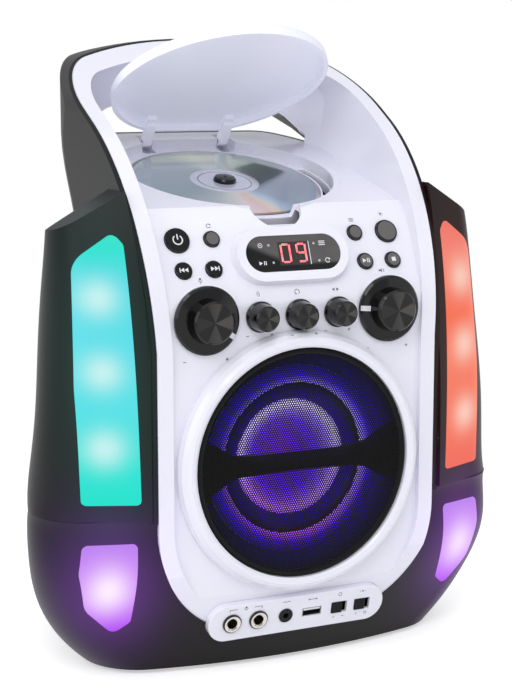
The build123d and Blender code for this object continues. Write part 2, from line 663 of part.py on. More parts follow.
# ---------------------------------------------------------------- sockets
def make_sockets():
    place = lean(0, 8.8, 31.75, -12)
    plate = Pos(0, 0, -6) * extrude(SlotOverall(119.6, 24), 6)
    plate = fillet(plate.faces().sort_by(Axis.Z)[-1].edges(), 0.8)
    plate -= Pos(0, 0, -6) * extrude(SlotOverall(116, 20.4), 4.0)
    spots = {"mic_1": -44.5, "mic_2": -27.0, "aux": -8.5, "usb": 9.5, "function": 28.5, "light": 44.5}
    jacks = {"left_mic_jack": spots["mic_1"], "right_mic_jack": spots["mic_2"]}
    for name, x in jacks.items():
        plate -= Pos(x, 0, -7) * Cylinder(4.75, 20)
        jack = tube(4.7, 3.25, -4.5, 0.9) + tube(6.4, 3.25, -20.0, -2.05)
        jack += rod(6.4, -21.5, -20.0)
        ring = spun([(4.65, 0.0), (6.1, 0.0), (6.1, 0.9), (5.4, 1.5), (4.2, 1.5), (3.25, 0.9), (3.25, 0.4)])
        keep(name, place * Pos(x, 0, 0) * (jack + ring))
    x = spots["aux"]
    plate -= Pos(x, 0, -7) * Cylinder(3.3, 20)
    aux = tube(3.25, 1.8, -4.5, 0.5) + tube(5.0, 1.8, -15.0, -2.05) + rod(5.0, -16.0, -15.0)
    aux += tube(4.6, 1.8, 0.0, 0.7)
    keep("aux_jack", place * Pos(x, 0, 0) * aux)
    x = spots["usb"]
    plate -= Pos(x, 0, -3) * Box(13.4, 5.8, 12)
    usb = Pos(x, 0, -9) * Box(13.2, 5.6, 18)
    usb -= Pos(x, 0, -7.6) * Box(12.2, 4.6, 18)
    usb += Pos(x, 1.1, -9.5) * Box(11.0, 1.6, 15)
    keep("usb_port", place * usb)
    for name, at in (("function_switch", spots["function"]), ("light_switch", spots["light"])):
        plate -= Pos(at, 0, -3) * Box(11.0, 7.6, 12)
        slider = Pos(at - 1.7, 0, -2.0) * Box(6.8, 7.0, 6.4)
        slider = fillet(slider.faces().sort_by(Axis.Z)[-1].edges(), 0.6)
        for rib in (-2.1, -0.7, 0.7, 2.1):
            slider -= Pos(at - 1.7 + rib, 0, 1.2) * Box(0.5, 5.6, 0.7)
        slider += Pos(at - 1.7, 0, -6.2) * Box(2.0, 2.0, 2.2)
        keep(name, place * slider)
    board = Pos(0, 0, -10.6) * Box(106, 17, 1.6)
    for at in (spots["mic_1"], spots["mic_2"]):
        board -= Pos(at, 0, -10.6) * Cylinder(6.5, 4)
    board -= Pos(spots["aux"], 0, -10.6) * Cylinder(5.1, 4)
    board -= Pos(spots["usb"], 0, -10.6) * Box(13.4, 5.8, 4)
    for at in (spots["function"], spots["light"]):
        board += Pos(at, 0, -8.9) * (Box(12.0, 7.0, 2.2) - Pos(0, 0, 0.8) * Box(9.0, 2.6, 1.6))
    keep("socket_plate", place * plate)
    keep("socket_board", place * board)


# ---------------------------------------------------------------- disc drive and lid
def make_well():
    floor = -4.5
    bowl = tube(WELL_TOP_R + SKIN, WELL_TOP_R, LEDGE_H - 2, 40)
    bowl += tube(WELL_TOP_R + SKIN, WELL_R, LEDGE_H - SKIN, LEDGE_H)
    bowl += tube(WELL_R + SKIN, WELL_R, floor - SKIN, LEDGE_H)
    bowl += tube(WELL_R + SKIN, 63.0, -0.5 - 2.0, -0.5)
    bowl += tube(65.0, 63.0, floor - 2.0, -0.5)
    bowl += rod(64.0, floor - 2.0, floor)
    # straight back wall behind the hinge arms
    bowl += block(-36, 36, 60, 81.5, floor - 2.0, 40)
    bowl -= block(-34, 34, 55, 69.0, -0.5, 60) & rod(200, -1, 60)
    bowl -= rod(WELL_R, -0.5, 60)
    bowl -= rod(63.0, floor, 60)
    bowl -= rod(WELL_TOP_R, LEDGE_H, 60) & block(-80, 80, -80, 69.0, LEDGE_H, 60)
    # arm pockets
    for s in (-1, 1):
        bowl -= block(s * ARM_X - 4.2, s * ARM_X + 4.2, 60, 79.5, -4.0, 60)
    # slot for the lens sled, hole for the spindle, opening that shows the drive
    bowl -= Rot(0, 0, 38) * block(10, 58, -9.5, 9.5, -20, -2)
    bowl -= rod(16.5, -20, 0)
    opening = (Circle(69.5) - Circle(64.0)) & (Pos(70, -6) * Rectangle(34, 50))
    bowl -= Pos(0, 0, -8) * extrude(opening, 12)
    bowl = disc_place() * bowl
    top = [(-60, deck_height(-60)), (260, deck_height(260)), (260, 200), (-60, 200)]
    bowl &= side_prism(make_face(Polyline(*top, close=True)))
    # finger scoop through the front rim: steep at the end, open towards the disc
    scoop = Pos(0, -WELL_TOP_R, LEDGE_H + 2) * scale(Sphere(1), (SCOOP_R, SCOOP_REACH, SCOOP_R))
    notch = disc_place() * (scoop & block(-40, 40, -120, -66, 1, 40))
    bowl -= notch
    fascia = made["front_fascia"] - notch
    keep("front_fascia", fascia)
    keep("disc_well", bowl)


def make_drive():
    deck = Pos(6, 0, -13.0) * Box(124, 100, 2.0)
    deck -= rod(5.4, -30, 0)
    deck -= Rot(0, 0, 38) * block(18, 54, -6, 6, -30, 0)
    for x, y in ((-50, -38), (50, -38), (-50, 38), (30, 46)):
        deck += Pos(x, y, 0) * rod(3.0, -14, -6.5)
    keep("drive_deck", disc_place() * deck)

    motor = rod(12.5, -26.0, -14.0) + rod(1.0, -14.0, -2.5) + tube(5.0, 1.0, -14.0, -11.8)
    keep("spindle_motor", disc_place() * motor)

    hub = spun([(1.05, -9.0), (3.2, -9.0), (3.2, -4.0), (14.0, -2.8), (14.0, -1.25), (7.3, -1.25), (7.3, 1.6),
                (6.4, 2.8), (2.0, 3.2), (1.05, 3.2)])
    keep("spindle_hub", disc_place() * hub)
    disc = tube(DISC_R, 7.5, -1.2, 0.0)
    keep("disc", disc_place() * disc)

    turn = Rot(0, 0, 38)
    rods = turn * (Pos(34, -8.0, -8.8) * Rot(0, 90, 0) * Cylinder(1.5, 46))
    rods += turn * (Pos(34, 8.0, -8.8) * Rot(0, 90, 0) * Cylinder(1.5, 46))
    for x in (11.5, 56.5):
        rods += turn * (Pos(x, 0, -9.6) * (Box(3.0, 24, 4.8)))
    rods -= turn * (Pos(34, 0, -8.8) * Rot(0, 90, 0) * Cylinder(1.55, 60))
    keep("guide_rods", disc_place() * rods)
    screw = turn * (Pos(35.4, 0, -8.8) * Rot(0, 90, 0) * Cylinder(1.5, 51.2))
    screw += turn * (Pos(60.1, 0, -8.8) * Rot(0, 90, 0) * Cylinder(2.1, 3.6))
    keep("feed_screw", disc_place() * screw)
    sled = Box(13.0, 22.0, 3.6)
    sled -= Pos(0, -8.0, 0) * Rot(0, 90, 0) * Cylinder(1.55, 20)
    sled -= Pos(0, 8.0, 0) * Rot(0, 90, 0) * Cylinder(1.55, 20)
    sled -= Rot(0, 90, 0) * Cylinder(1.85, 20)
    sled += Pos(0, 0, 2.6) * Cylinder(3.0, 1.6)
    keep("lens_sled", disc_place() * (turn * (Pos(24, 0, -8.8) * sled)))


def lid_place():
    """The open lid's own frame: z out of its top, y from the tip towards the hinge."""
    rise = DISC_TILT - LID_OPEN
    turn = radians(-LID_OPEN)
    dy, dz = 113.8 - HINGE_Y, 298.8 - HINGE_Z
    y = HINGE_Y + dy * cos(turn) - dz * sin(turn)
    z = HINGE_Z + dy * sin(turn) + dz * cos(turn)
    return Location((0, y, z), (rise, 0, 0))


def make_lid():
    edge_h = LID_RIM
    dome = spun([(0, 4.6), (LID_R - 2.6, 4.6), (LID_R - 2.6, 0), (LID_R, 0), (LID_R, edge_h - 2.2),
                 (LID_R - 1.0, edge_h - 0.6), (LID_R - 3.0, edge_h), (LID_R - 26, edge_h + 1.4), (0, edge_h + 2.0)])
    dome -= block(-90, 90, 66.4, 90, -5, 20)
    dome += block(-27, 27, 64.0, 66.4, 0, edge_h - 0.5)
    tab = block(-13.5, 13.5, -70.2, -64.0, 0.6, 5.0) - block(-9.5, 9.5, -67.0, -62, -1, 3.4)
    dome += tab
    # goose-neck arms: down from the lid, back and under its edge, to an eye on the hinge line
    place = lid_place()
    inverse = place.inverse()
    eye = (inverse * Location((0, HINGE_Y, HINGE_Z))).position
    ey, ez = eye.Y, eye.Z
    path = [(52.0, 4.6), (61.5, 4.6), (63.0, 1.0), (ey - 2.0, ez + 3.6), (ey + 3.4, ez + 1.4), (ey + 3.0, ez - 2.6),
            (ey - 1.6, ez - 3.4), (60.0, -3.4), (56.2, -0.6), (55.6, 1.6), (52.0, 1.6)]
    arm_face = make_face(Polyline(*path, close=True))
    arm_face = fillet([v for v in arm_face.vertices() if v.Y < 4.0], 1.0)
    arm = extrude(Plane.YZ * arm_face, 3.0, both=True)
    for s in (-1, 1):
        dome += Pos(s * ARM_X, 0, 0) * arm
        dome -= Pos(s * ARM_X, ey, ez) * Rot(0, 90, 0) * Cylinder(1.3 + SHAFT_GAP, 20)
    keep("disc_lid", place * dome)
    pins = None
    for s in (-1, 1):
        pin = Pos(s * ARM_X, HINGE_Y, HINGE_Z) * Rot(0, 90, 0) * Cylinder(1.3, 8.4)
        pins = pin if pins is None else pins + pin
    keep("hinge_pins", pins)


# ---------------------------------------------------------------- boards, feet and screws
def make_inside():
    face = 180.2
    board = block(-48, 48, face, face + 1.6, 126, 210)
    board += block(4, 38, face - 6, face, 150, 176)
    board += block(-42, -26, face - 8, face, 132, 144)
    board += block(22, 38, face - 5, face, 186, 204)
    for x in (-34, -16):
        board += Pos(x, face - 5, 176) * Rot(90, 0, 0) * Cylinder(6, 10)
    keep("main_board", board)
    inlet = tube(4.5, 2.8, -14, 0) + rod(4.5, -16, -14) + rod(1.0, -14, -2) + tube(6.5, 4.5, -14, -4.0)
    keep("power_inlet", Pos(-52, BACK_Y, 60) * Rot(-90, 0, 0) * inlet)
    feet = None
    for x in (-82, 82):
        for y in (45, 165):
            foot = Pos(x, y, 0) * spun([(0, 0), (6.6, 0), (7.6, 0.8), (8.0, 3.0), (8.0, 3.75), (0, 3.75)])
            feet = foot if feet is None else feet + foot
    keep("rubber_feet", feet)
    screws = None
    for x, z in screw_places():
        body = spun([(0, -11), (1.5, -11), (1.5, -2), (3.2, -2), (3.2, -1.1), (2.2, -0.4), (0, -0.2)])
        body -= Pos(0, 0, -0.4) * (Box(0.8, 3.4, 1.4) + Box(3.4, 0.8, 1.4))
        screw = Pos(x, BACK_Y, z) * Rot(-90, 0, 0) * body
        screws = screw if screws is None else screws + screw
    keep("cabinet_screws", screws)


def main():
    arch_inner, plan_inner = make_cabinet()
    make_fascia(arch_inner, plan_inner)
    make_towers()
    make_speaker()
    make_controls()
    make_sockets()
    make_well()
    make_drive()
    make_lid()
    make_inside()
    os.makedirs(PARTS, exist_ok=True)
    for name, shape in made.items():
        export_step(Pos(0, -CENTRE_Y, 0) * shape, os.path.join(PARTS, name + ".step"))


main()
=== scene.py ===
import json
import math

import bmesh
import bpy
import numpy as np
from mathutils import Matrix, Vector
from mathutils.bvhtree import BVHTree


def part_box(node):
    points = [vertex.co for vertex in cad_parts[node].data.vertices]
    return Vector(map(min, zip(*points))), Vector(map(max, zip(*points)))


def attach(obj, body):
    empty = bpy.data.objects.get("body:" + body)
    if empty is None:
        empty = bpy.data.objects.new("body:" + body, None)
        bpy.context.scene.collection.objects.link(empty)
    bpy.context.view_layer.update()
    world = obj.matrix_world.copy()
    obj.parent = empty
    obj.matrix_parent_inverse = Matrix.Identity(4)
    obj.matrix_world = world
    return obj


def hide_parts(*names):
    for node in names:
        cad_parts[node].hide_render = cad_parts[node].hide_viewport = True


# Karaoke machine with a top-loading disc well: the looks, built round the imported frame.
# Blender works in metres; the shapes are written in millimetres, and MM turns one into the other.

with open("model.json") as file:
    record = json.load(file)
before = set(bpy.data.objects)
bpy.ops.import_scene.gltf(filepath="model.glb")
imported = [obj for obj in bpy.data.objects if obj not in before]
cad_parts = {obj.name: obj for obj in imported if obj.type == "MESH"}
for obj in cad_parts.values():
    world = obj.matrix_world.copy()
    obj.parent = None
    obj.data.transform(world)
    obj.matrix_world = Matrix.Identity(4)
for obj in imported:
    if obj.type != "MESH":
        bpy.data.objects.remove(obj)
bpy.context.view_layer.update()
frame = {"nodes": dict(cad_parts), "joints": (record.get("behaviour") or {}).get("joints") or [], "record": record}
nodes = frame["nodes"]
joints = {joint["name"]: joint for joint in frame["joints"]}

MM = 0.001
TAU = 2 * math.pi
SIDES = {-1: "left", 1: "right"}
RIGHT = Vector((1, 0, 0))
FORWARD = Vector((0, -1, 0))
FULL_WHITE = (1, 1, 1, 1)

# camera, worked out from the disc, the grille circle and the front's symmetry
CAMERA_AT = Vector((-432.2, -942.1, 356.2)) * MM
CAMERA_TURN = 25.33     # degrees to the right of straight ahead
CAMERA_DIP = 9.52       # degrees downwards
CAMERA_LENS = 83.61     # mm
CAMERA_FRAME = 36.0     # mm, the picture's long side
CAMERA_CLIP = 0.05

# the speaker opening: its middle on the grille's front face
GRILLE_LOW, GRILLE_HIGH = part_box("speaker_grille")
GRILLE_AT = Vector((0, 0, (GRILLE_LOW.z + GRILLE_HIGH.z) / 2))
GRILLE_FACE = GRILLE_LOW.y
GRILLE_R = (GRILLE_HIGH.x - GRILLE_LOW.x) / 2

# the lamps behind the lenses, three to a tower and one to a base lens, and the glow ahead of each tower
TOWER_LAMP_X = 121.5 * MM
TOWER_LAMP_Z = [145.7 * MM, 189.8 * MM, 232.0 * MM]
TOWER_LAMP_DEPTH = 12 * MM
TOWER_GLOW_AHEAD = 6 * MM
BASE_LAMP_DEPTH = 4 * MM

# radii on the turned and pressed pieces
BIG_KNOB_WIDTH = 30 * MM    # a wider knob than this has a skirt
BIG_CAP_R = 11.4 * MM
SMALL_CAP_R = 6.6 * MM
HUB_R = 22.5 * MM           # clear middle of the disc
HUB_LINE_R = 17.5 * MM
HUB_LINE_HALF = 0.5 * MM
BUTTON_RIM = 1.1 * MM
PLATED_R = 5.25 * MM        # plated ring of a microphone socket, inside its dark collar
WINDOW_HALF_WIDTH = 25 * MM
WINDOW_HALF_HEIGHT = 9.5 * MM
WINDOW_TILT = math.radians(22)
FACE_SLACK = 0.03 * MM      # points this near the farthest one are on its face


# -------------- colours and node helpers
def paint(code, share=1.0):
    """Linear colour of a screen colour rrggbb: the screen's curve undone, then times a share."""
    parts = [int(code[i:i + 2], 16) / 255 for i in (0, 2, 4)]
    linear = [c / 12.92 if c <= 0.04045 else ((c + 0.055) / 1.055) ** 2.4 for c in parts]
    return [c * share for c in linear] + [1.0]


def put(tree, socket, value):
    """Link a socket to another one, or give it a plain value."""
    if isinstance(value, bpy.types.NodeSocket):
        tree.links.new(value, socket)
    else:
        socket.default_value = value


def add_node(tree, kind, **inputs):
    """A shader node: a name with a leading underscore is a setting, i0 or i1 a socket by its number, and
    any other name a socket."""
    made = tree.nodes.new("ShaderNode" + kind)
    for name, value in inputs.items():
        if name.startswith("_"):
            setattr(made, name[1:], value)
    for name, value in inputs.items():
        if not name.startswith("_"):
            put(tree, made.inputs[name if name in made.inputs else int(name[1:])], value)
    return made


def maths(tree, operation, a, b=0.0, clamp=False):
    return add_node(tree, "Math", _operation=operation, _use_clamp=clamp, i0=a, i1=b).outputs[0]


def line(tree, value, start, slope, clamp=False):
    """Start plus slope times value."""
    return maths(tree, "ADD", start, maths(tree, "MULTIPLY", value, slope), clamp)


def between(tree, value, low, high, curve="LINEAR"):
    """How far value is on the way from low to high, from 0 to 1; SMOOTHSTEP eases both ends."""
    made = add_node(tree, "MapRange", Value=value, _interpolation_type=curve)
    made.inputs["From Min"].default_value = low
    made.inputs["From Max"].default_value = high
    return made.outputs["Result"]


def vector_maths(tree, operation, a, b=(0, 0, 0)):
    made = add_node(tree, "VectorMath", _operation=operation, i0=a, i1=b)
    return made.outputs["Value" if operation in ("DOT_PRODUCT", "LENGTH") else "Vector"]


def blend_colour(tree, factor, a, b, kind="MIX"):
    made = add_node(tree, "Mix", _data_type="RGBA", _blend_type=kind, i0=factor, i6=a, i7=b)
    return made.outputs[2]


def ramp(tree, value, stops):
    """Colour ramp: stops are (place, rrggbb)."""
    made = add_node(tree, "ValToRGB", Fac=value)
    band = made.color_ramp
    while len(band.elements) < len(stops):
        band.elements.new(0.5)
    for element, (place, code) in zip(band.elements, stops):
        element.position = place
        element.color = paint(code)
    return made.outputs["Color"]


def object_place(tree):
    return add_node(tree, "TexCoord").outputs["Object"]


def noise(tree, scale, detail=2.0):
    """Noise on the object's own coordinates, from 0 to 1."""
    made = add_node(tree, "TexNoise", Vector=object_place(tree), Scale=scale, Detail=detail)
    return made.outputs["Fac"]


def ring_noise(tree, distance, per_metre, detail):
    """Noise that changes only with the distance from an axis, as turned or pressed rings do."""
    place = maths(tree, "MULTIPLY", distance, per_metre)
    made = add_node(tree, "TexNoise", _noise_dimensions="1D", W=place, Scale=1.0, Detail=detail)
    return made.outputs["Fac"]


def bumps(tree, height, strength, distance=0.1 * MM):
    made = add_node(tree, "Bump", Height=height, Strength=strength, Distance=distance)
    return made.outputs["Normal"]


def new_group(name, inputs, outputs):
    """An empty shader node group with its sockets: (name, kind, default)."""
    tree = bpy.data.node_groups.new(name, "ShaderNodeTree")
    for label, kind, value in inputs:
        socket = tree.interface.new_socket(label, in_out="INPUT", socket_type="NodeSocket" + kind)
        socket.default_value = value
    for label, kind in outputs:
        tree.interface.new_socket(label, in_out="OUTPUT", socket_type="NodeSocket" + kind)
    return tree, tree.nodes.new("NodeGroupInput").outputs, tree.nodes.new("NodeGroupOutput").inputs


def use_group(tree, group, **inputs):
    """A group placed in a material, with its own values; returns its outputs."""
    made = add_node(tree, "Group", _node_tree=group)
    for name, value in inputs.items():
        put(tree, made.inputs[name.replace("_", " ")], value)
    return made.outputs


# -------------- shader groups
def make_moulded_group():
    """Moulded plastic: slow colour drift, uneven gloss and a fine grain, all from noise."""
    tree, given, out = new_group(
        "moulded plastic",
        [("Colour", "Color", (0.8, 0.8, 0.8, 1)), ("Drift", "Float", 0.05), ("Gloss", "Float", 0.3),
         ("Gloss drift", "Float", 0.05), ("Grain size", "Float", 1400.0), ("Grain depth", "Float", 0.1)],
        [("Colour", "Color"), ("Roughness", "Float"), ("Normal", "Vector")])
    slow = noise(tree, 16.0, 3.0)
    fine = noise(tree, given["Grain size"])
    tint = vector_maths(tree, "SCALE", given["Colour"])
    level = line(tree, maths(tree, "SUBTRACT", slow, 0.5), 1.0, given["Drift"])
    tree.links.new(level, tint.node.inputs["Scale"])
    tree.links.new(tint, out["Colour"])
    rough = line(tree, maths(tree, "SUBTRACT", fine, 0.5), given["Gloss"], given["Gloss drift"], True)
    tree.links.new(rough, out["Roughness"])
    tree.links.new(bumps(tree, fine, given["Grain depth"]), out["Normal"])
    return tree


def make_glow_group():
    """A soft round or oval glow: exp of minus the squared distance from its middle over its spread."""
    tree, given, out = new_group(
        "soft glow", [("Middle", "Vector", (0, 0, 0)), ("Spread", "Vector", (0.02, 0.02, 0.02))],
        [("Mask", "Float")])
    offset = vector_maths(tree, "SUBTRACT", object_place(tree), given["Middle"])
    scaled = vector_maths(tree, "DIVIDE", offset, given["Spread"])
    squared = vector_maths(tree, "DOT_PRODUCT", scaled, scaled)
    tree.links.new(maths(tree, "EXPONENT", maths(tree, "MULTIPLY", squared, -1.0)), out["Mask"])
    return tree


def make_turn_group():
    """Place of a point round an axis: its angle as a fraction of a turn, and its distance in metres."""
    tree, given, out = new_group(
        "place round an axis",
        [("Middle", "Vector", (0, 0, 0)), ("Right", "Vector", (1, 0, 0)), ("Up", "Vector", (0, 0, 1))],
        [("Turn", "Float"), ("Distance", "Float")])
    offset = vector_maths(tree, "SUBTRACT", object_place(tree), given["Middle"])
    across = vector_maths(tree, "DOT_PRODUCT", offset, given["Right"])
    along = vector_maths(tree, "DOT_PRODUCT", offset, given["Up"])
    angle = maths(tree, "DIVIDE", maths(tree, "ARCTAN2", along, across), TAU)
    tree.links.new(maths(tree, "ADD", angle, 0.5), out["Turn"])
    squared = maths(tree, "ADD", maths(tree, "MULTIPLY", across, across),
                    maths(tree, "MULTIPLY", along, along))
    tree.links.new(maths(tree, "SQRT", squared), out["Distance"])
    return tree


MOULDED = make_moulded_group()
GLOW = make_glow_group()
ROUND = make_turn_group()


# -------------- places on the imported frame
def axis_frame(normal):
    """Right and up directions on a face that leans about X, for a unit normal."""
    up = normal.cross(RIGHT).normalized()
    return RIGHT, -up if up.z < 0 else up


def round_axis(tree, middle, normal):
    """Turn and distance of a surface's points round an axis."""
    right, up = axis_frame(normal)
    place = use_group(tree, ROUND, Middle=middle, Right=right, Up=up)
    return place["Turn"], place["Distance"]


def front_face(node, normal):
    """Middle of a node's face that stands farthest along a normal, and that normal at unit length."""
    normal = Vector(normal).normalized()
    points = np.array([v.co[:] for v in nodes[node].data.vertices])
    reach = points @ np.array(normal)
    top = points[reach > reach.max() - FACE_SLACK]
    return Vector((top.min(0) + top.max(0)) / 2), normal


def base_lamp(side):
    """Middle of a base lens, on its front surface."""
    low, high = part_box(SIDES[side] + "_base_lens")
    return Vector(((low.x + high.x) / 2, low.y + BASE_LAMP_DEPTH, (low.z + high.z) / 2))


def tower_middle(side):
    """Middle of a tower lens, a little ahead of it."""
    low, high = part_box(SIDES[side] + "_tower_lens")
    return Vector(((low.x + high.x) / 2, (low.y + high.y) / 2 - TOWER_GLOW_AHEAD, (low.z + high.z) / 2))


# -------------- finishes
def new_material(name, **settings):
    """A material and its Principled shader, with plain numbers set on the shader's own sockets."""
    material = bpy.data.materials.new(name)
    material.use_nodes = True
    tree = material.node_tree
    shader = tree.nodes["Principled BSDF"]
    for label, value in settings.items():
        shader.inputs[label.replace("_", " ")].default_value = value
    return material, tree, shader


def feed(tree, shader, **links):
    for label, socket in links.items():
        tree.links.new(socket, shader.inputs[label.replace("_", " ")])


def moulded(name, colour, gloss=0.3, drift=0.05, gloss_drift=0.06, grain=1400.0, depth=0.1, **settings):
    """A moulded plastic finish."""
    material, tree, shader = new_material(name, **settings)
    made = use_group(tree, MOULDED, Colour=paint(colour), Drift=drift, Gloss=gloss,
                     Gloss_drift=gloss_drift, Grain_size=grain, Grain_depth=depth)
    feed(tree, shader, Base_Color=made["Colour"], Roughness=made["Roughness"], Normal=made["Normal"])
    return material


def spill(material, lamps, strength):
    """Coloured light that a lens throws on what is round it: lamps are (middle, spread, rrggbb)."""
    tree = material.node_tree
    shader = tree.nodes["Principled BSDF"]
    total = None
    for middle, spread, code in lamps:
        mask = use_group(tree, GLOW, Middle=middle, Spread=Vector(spread) * MM)["Mask"]
        lit = blend_colour(tree, mask, (0, 0, 0, 1), paint(code))
        total = lit if total is None else blend_colour(tree, 1.0, total, lit, "ADD")
    feed(tree, shader, Emission_Color=total)
    shader.inputs["Emission Strength"].default_value = strength
    return material


def charcoal_finish():
    """Dark satin plastic with the faint light that the lenses throw on it."""
    material = moulded("charcoal plastic", "141111", gloss=0.4, drift=0.2, gloss_drift=0.14,
                       grain=2600.0, depth=0.2, Specular_IOR_Level=0.2)
    lamps = []
    for side, tint in ((-1, "12584f"), (1, "521f16")):
        lamps.append((base_lamp(side), (29, 40, 40), "8a35c0"))
        lamps.append((tower_middle(side), (24, 60, 90), tint))
    return spill(material, lamps, 0.4)


def white_finish():
    """Glossy white front, tinted violet where the base lenses light it."""
    material = moulded("white gloss plastic", "edecf6", gloss=0.22, drift=0.02, gloss_drift=0.05,
                       grain=900.0, depth=0.03, Coat_Weight=0.5, Coat_Roughness=0.1)
    lamps = [(base_lamp(side) + Vector((-side * 18, 0, 4)) * MM, (17, 60, 40), "a050e8")
             for side in SIDES]
    return spill(material, lamps, 0.3)


def lit_base(tree, colour, share):
    """The colour that a lit surface keeps under room light: its glow times a small share."""
    return blend_colour(tree, 1.0, colour, (share, share, share, 1), "MULTIPLY")


def lens_finish(name, node, stops, spots, spot_code, spread, strength):
    """A frosted lens lit from behind: a colour that changes with height, and a pale spot at each lamp."""
    low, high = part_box(node)
    material, tree, shader = new_material(name, Roughness=0.4, Coat_Weight=0.12, Coat_Roughness=0.12,
                                          Specular_IOR_Level=0.2, Emission_Strength=strength)
    height = add_node(tree, "SeparateXYZ", Vector=object_place(tree)).outputs["Z"]
    colour = ramp(tree, between(tree, height, low.z, high.z), stops)
    for spot in spots:
        mask = use_group(tree, GLOW, Middle=spot, Spread=Vector(spread) * MM)["Mask"]
        colour = blend_colour(tree, mask, colour, paint(spot_code))
    frost = bumps(tree, noise(tree, 260.0, 3.0), 0.12, 0.2 * MM)
    feed(tree, shader, Base_Color=lit_base(tree, colour, 0.07), Emission_Color=colour, Normal=frost)
    return material


CYAN_STOPS = [(0.0, "0fe3cb"), (0.12, "1fe4d4"), (0.35, "52e2e6"), (0.62, "5ae0ea"), (0.84, "4fdde4"),
              (0.93, "27e2d2"), (1.0, "2ae3c4")]
CORAL_STOPS = [(0.0, "f06452"), (0.15, "f66e55"), (0.45, "f87a5c"), (0.62, "f86c4a"), (0.85, "f78470"),
               (1.0, "f07066")]
VIOLET_STOPS = [(0.0, "a432f0"), (0.14, "b752f4"), (0.4, "c878f4"), (0.8, "c07cf0"), (1.0, "b47cec")]


def tower_lens_finish(side, name, stops, spot_code):
    node = SIDES[side] + "_tower_lens"
    low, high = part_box(node)
    spots = [Vector((side * TOWER_LAMP_X, low.y + TOWER_LAMP_DEPTH, z)) for z in TOWER_LAMP_Z]
    return lens_finish(name, node, stops, spots, spot_code, (11, 60, 11), 0.9)


def base_lens_finish(side, spot_code):
    node = SIDES[side] + "_base_lens"
    return lens_finish(node.replace("_", " "), node, VIOLET_STOPS, [base_lamp(side)], spot_code,
                       (13, 60, 15), 0.95)


def knob_gloss_and_painted_sheen(node):
    """Black gloss, with a painted reflection on the cap: the eight light and dark wedges that a spun cap reflects,
    painted brighter on the right where the light falls. Four turns of a cosine round the cap, steepened and held
    between 0 and 1, times a slower one across it."""
    joint = joints[node + "_turn"]
    material, tree, shader = new_material(node + " finish", Coat_Weight=0.12, Coat_Roughness=0.06,
                                          Specular_IOR_Level=0.3)
    turn, distance = round_axis(tree, Vector(joint["pos_m"]), Vector(joint["axis"]))
    # painted reflection: eight light and dark wedges round the cap, as a spun cap reflects the room
    sector_sheen = maths(tree, "COSINE", maths(tree, "MULTIPLY", turn, TAU * 4))
    # painted light: the wedges brighter on the right, where the light falls
    side = maths(tree, "COSINE", maths(tree, "MULTIPLY", turn, TAU))
    cap_painted_sheen = maths(tree, "MULTIPLY", line(tree, sector_sheen, 0.5, 1.6, clamp=True), line(tree, side, 0.6, -0.4))
    low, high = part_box(node)
    cap_r = BIG_CAP_R if high.x - low.x > BIG_KNOB_WIDTH else SMALL_CAP_R
    on_cap = maths(tree, "LESS_THAN", distance, cap_r)
    # 0b0b0c is the knob's own black; 454340 is the painted reflection on the cap
    colour = blend_colour(tree, maths(tree, "MULTIPLY", cap_painted_sheen, on_cap), paint("0b0b0c"), paint("454340"))
    turned = maths(tree, "MULTIPLY", ring_noise(tree, distance, 9000.0, 2.0), on_cap)
    feed(tree, shader, Base_Color=colour, Roughness=line(tree, on_cap, 0.1, 0.18),
         Normal=bumps(tree, turned, 0.12))
    return material


# the disc's silver with painted reflections round it: the spectrum streaks and the lighter and darker sheen of the
# room, by the share of a turn from the left over the front
DISC_REFLECTION_STOPS = [(0.0, "9fb0b4"), (0.08, "8fa3a8"), (0.16, "b4c0c0"), (0.20, "d8dcd0"), (0.235, "f6e6d8"),
              (0.262, "f4c8c0"), (0.283, "f2e0b0"), (0.30, "c0d8e8"), (0.34, "92a8b4"), (0.46, "8496a2"),
              (0.56, "a8b4ba"), (0.63, "9fb3a8"), (0.70, "c2cfc2"), (0.76, "d4d8c8"), (0.82, "a4b4b0"),
              (1.0, "9fb0b4")]


def disc_finish():
    """Mirror layer with faint rings, and painted reflections: the spectrum streaks that its tracks throw back,
    painted on by the angle round it; a clear hub ring.
    """
    joint = joints["disc_spin"]
    material, tree, shader = new_material("disc", Roughness=0.12, Coat_Weight=0.8, Coat_Roughness=0.04)
    turn, distance = round_axis(tree, Vector(joint["pos_m"]), Vector(joint["axis"]))
    on_hub = maths(tree, "LESS_THAN", distance, HUB_R)
    hub_line = maths(tree, "COMPARE", distance, HUB_LINE_R)
    hub_line.node.inputs[2].default_value = HUB_LINE_HALF
    colour = blend_colour(tree, on_hub, ramp(tree, turn, DISC_REFLECTION_STOPS), paint("c9cbd6"))
    colour = blend_colour(tree, hub_line, colour, paint("6f7680"))
    feed(tree, shader, Base_Color=colour, Metallic=line(tree, on_hub, 0.62, -0.5),
         Normal=bumps(tree, ring_noise(tree, distance, 5000.0, 3.0), 0.05))
    return material


# the lamps' colour and force round the speaker, from the left over the bottom, right and top to the left: the lit
# ring's own, and the same light painted on the liner and on the cone and surround
RING_TINTS = [(0.0, "a07ae0"), (0.12, "c070ff"), (0.25, "f478ff"), (0.4, "c8a0ff"), (0.55, "c4c8ff"),
              (0.75, "b0b4f0"), (0.88, "8c90d8"), (1.0, "a07ae0")]
GLOW_TINTS = [(0.0, "241c30"), (0.12, "5c3878"), (0.25, "9868b8"), (0.42, "d8b8ff"), (0.55, "e8e4ff"),
              (0.68, "8080b8"), (0.8, "26263c"), (1.0, "241c30")]
CONE_LIGHT_TINTS = [(0.0, "e8d0ff"), (0.12, "e890ff"), (0.25, "d480ff"), (0.42, "d8b4ff"), (0.55, "e8e0ff"),
              (0.75, "ffffff"), (0.9, "f4f0ff"), (1.0, "e8d0ff")]
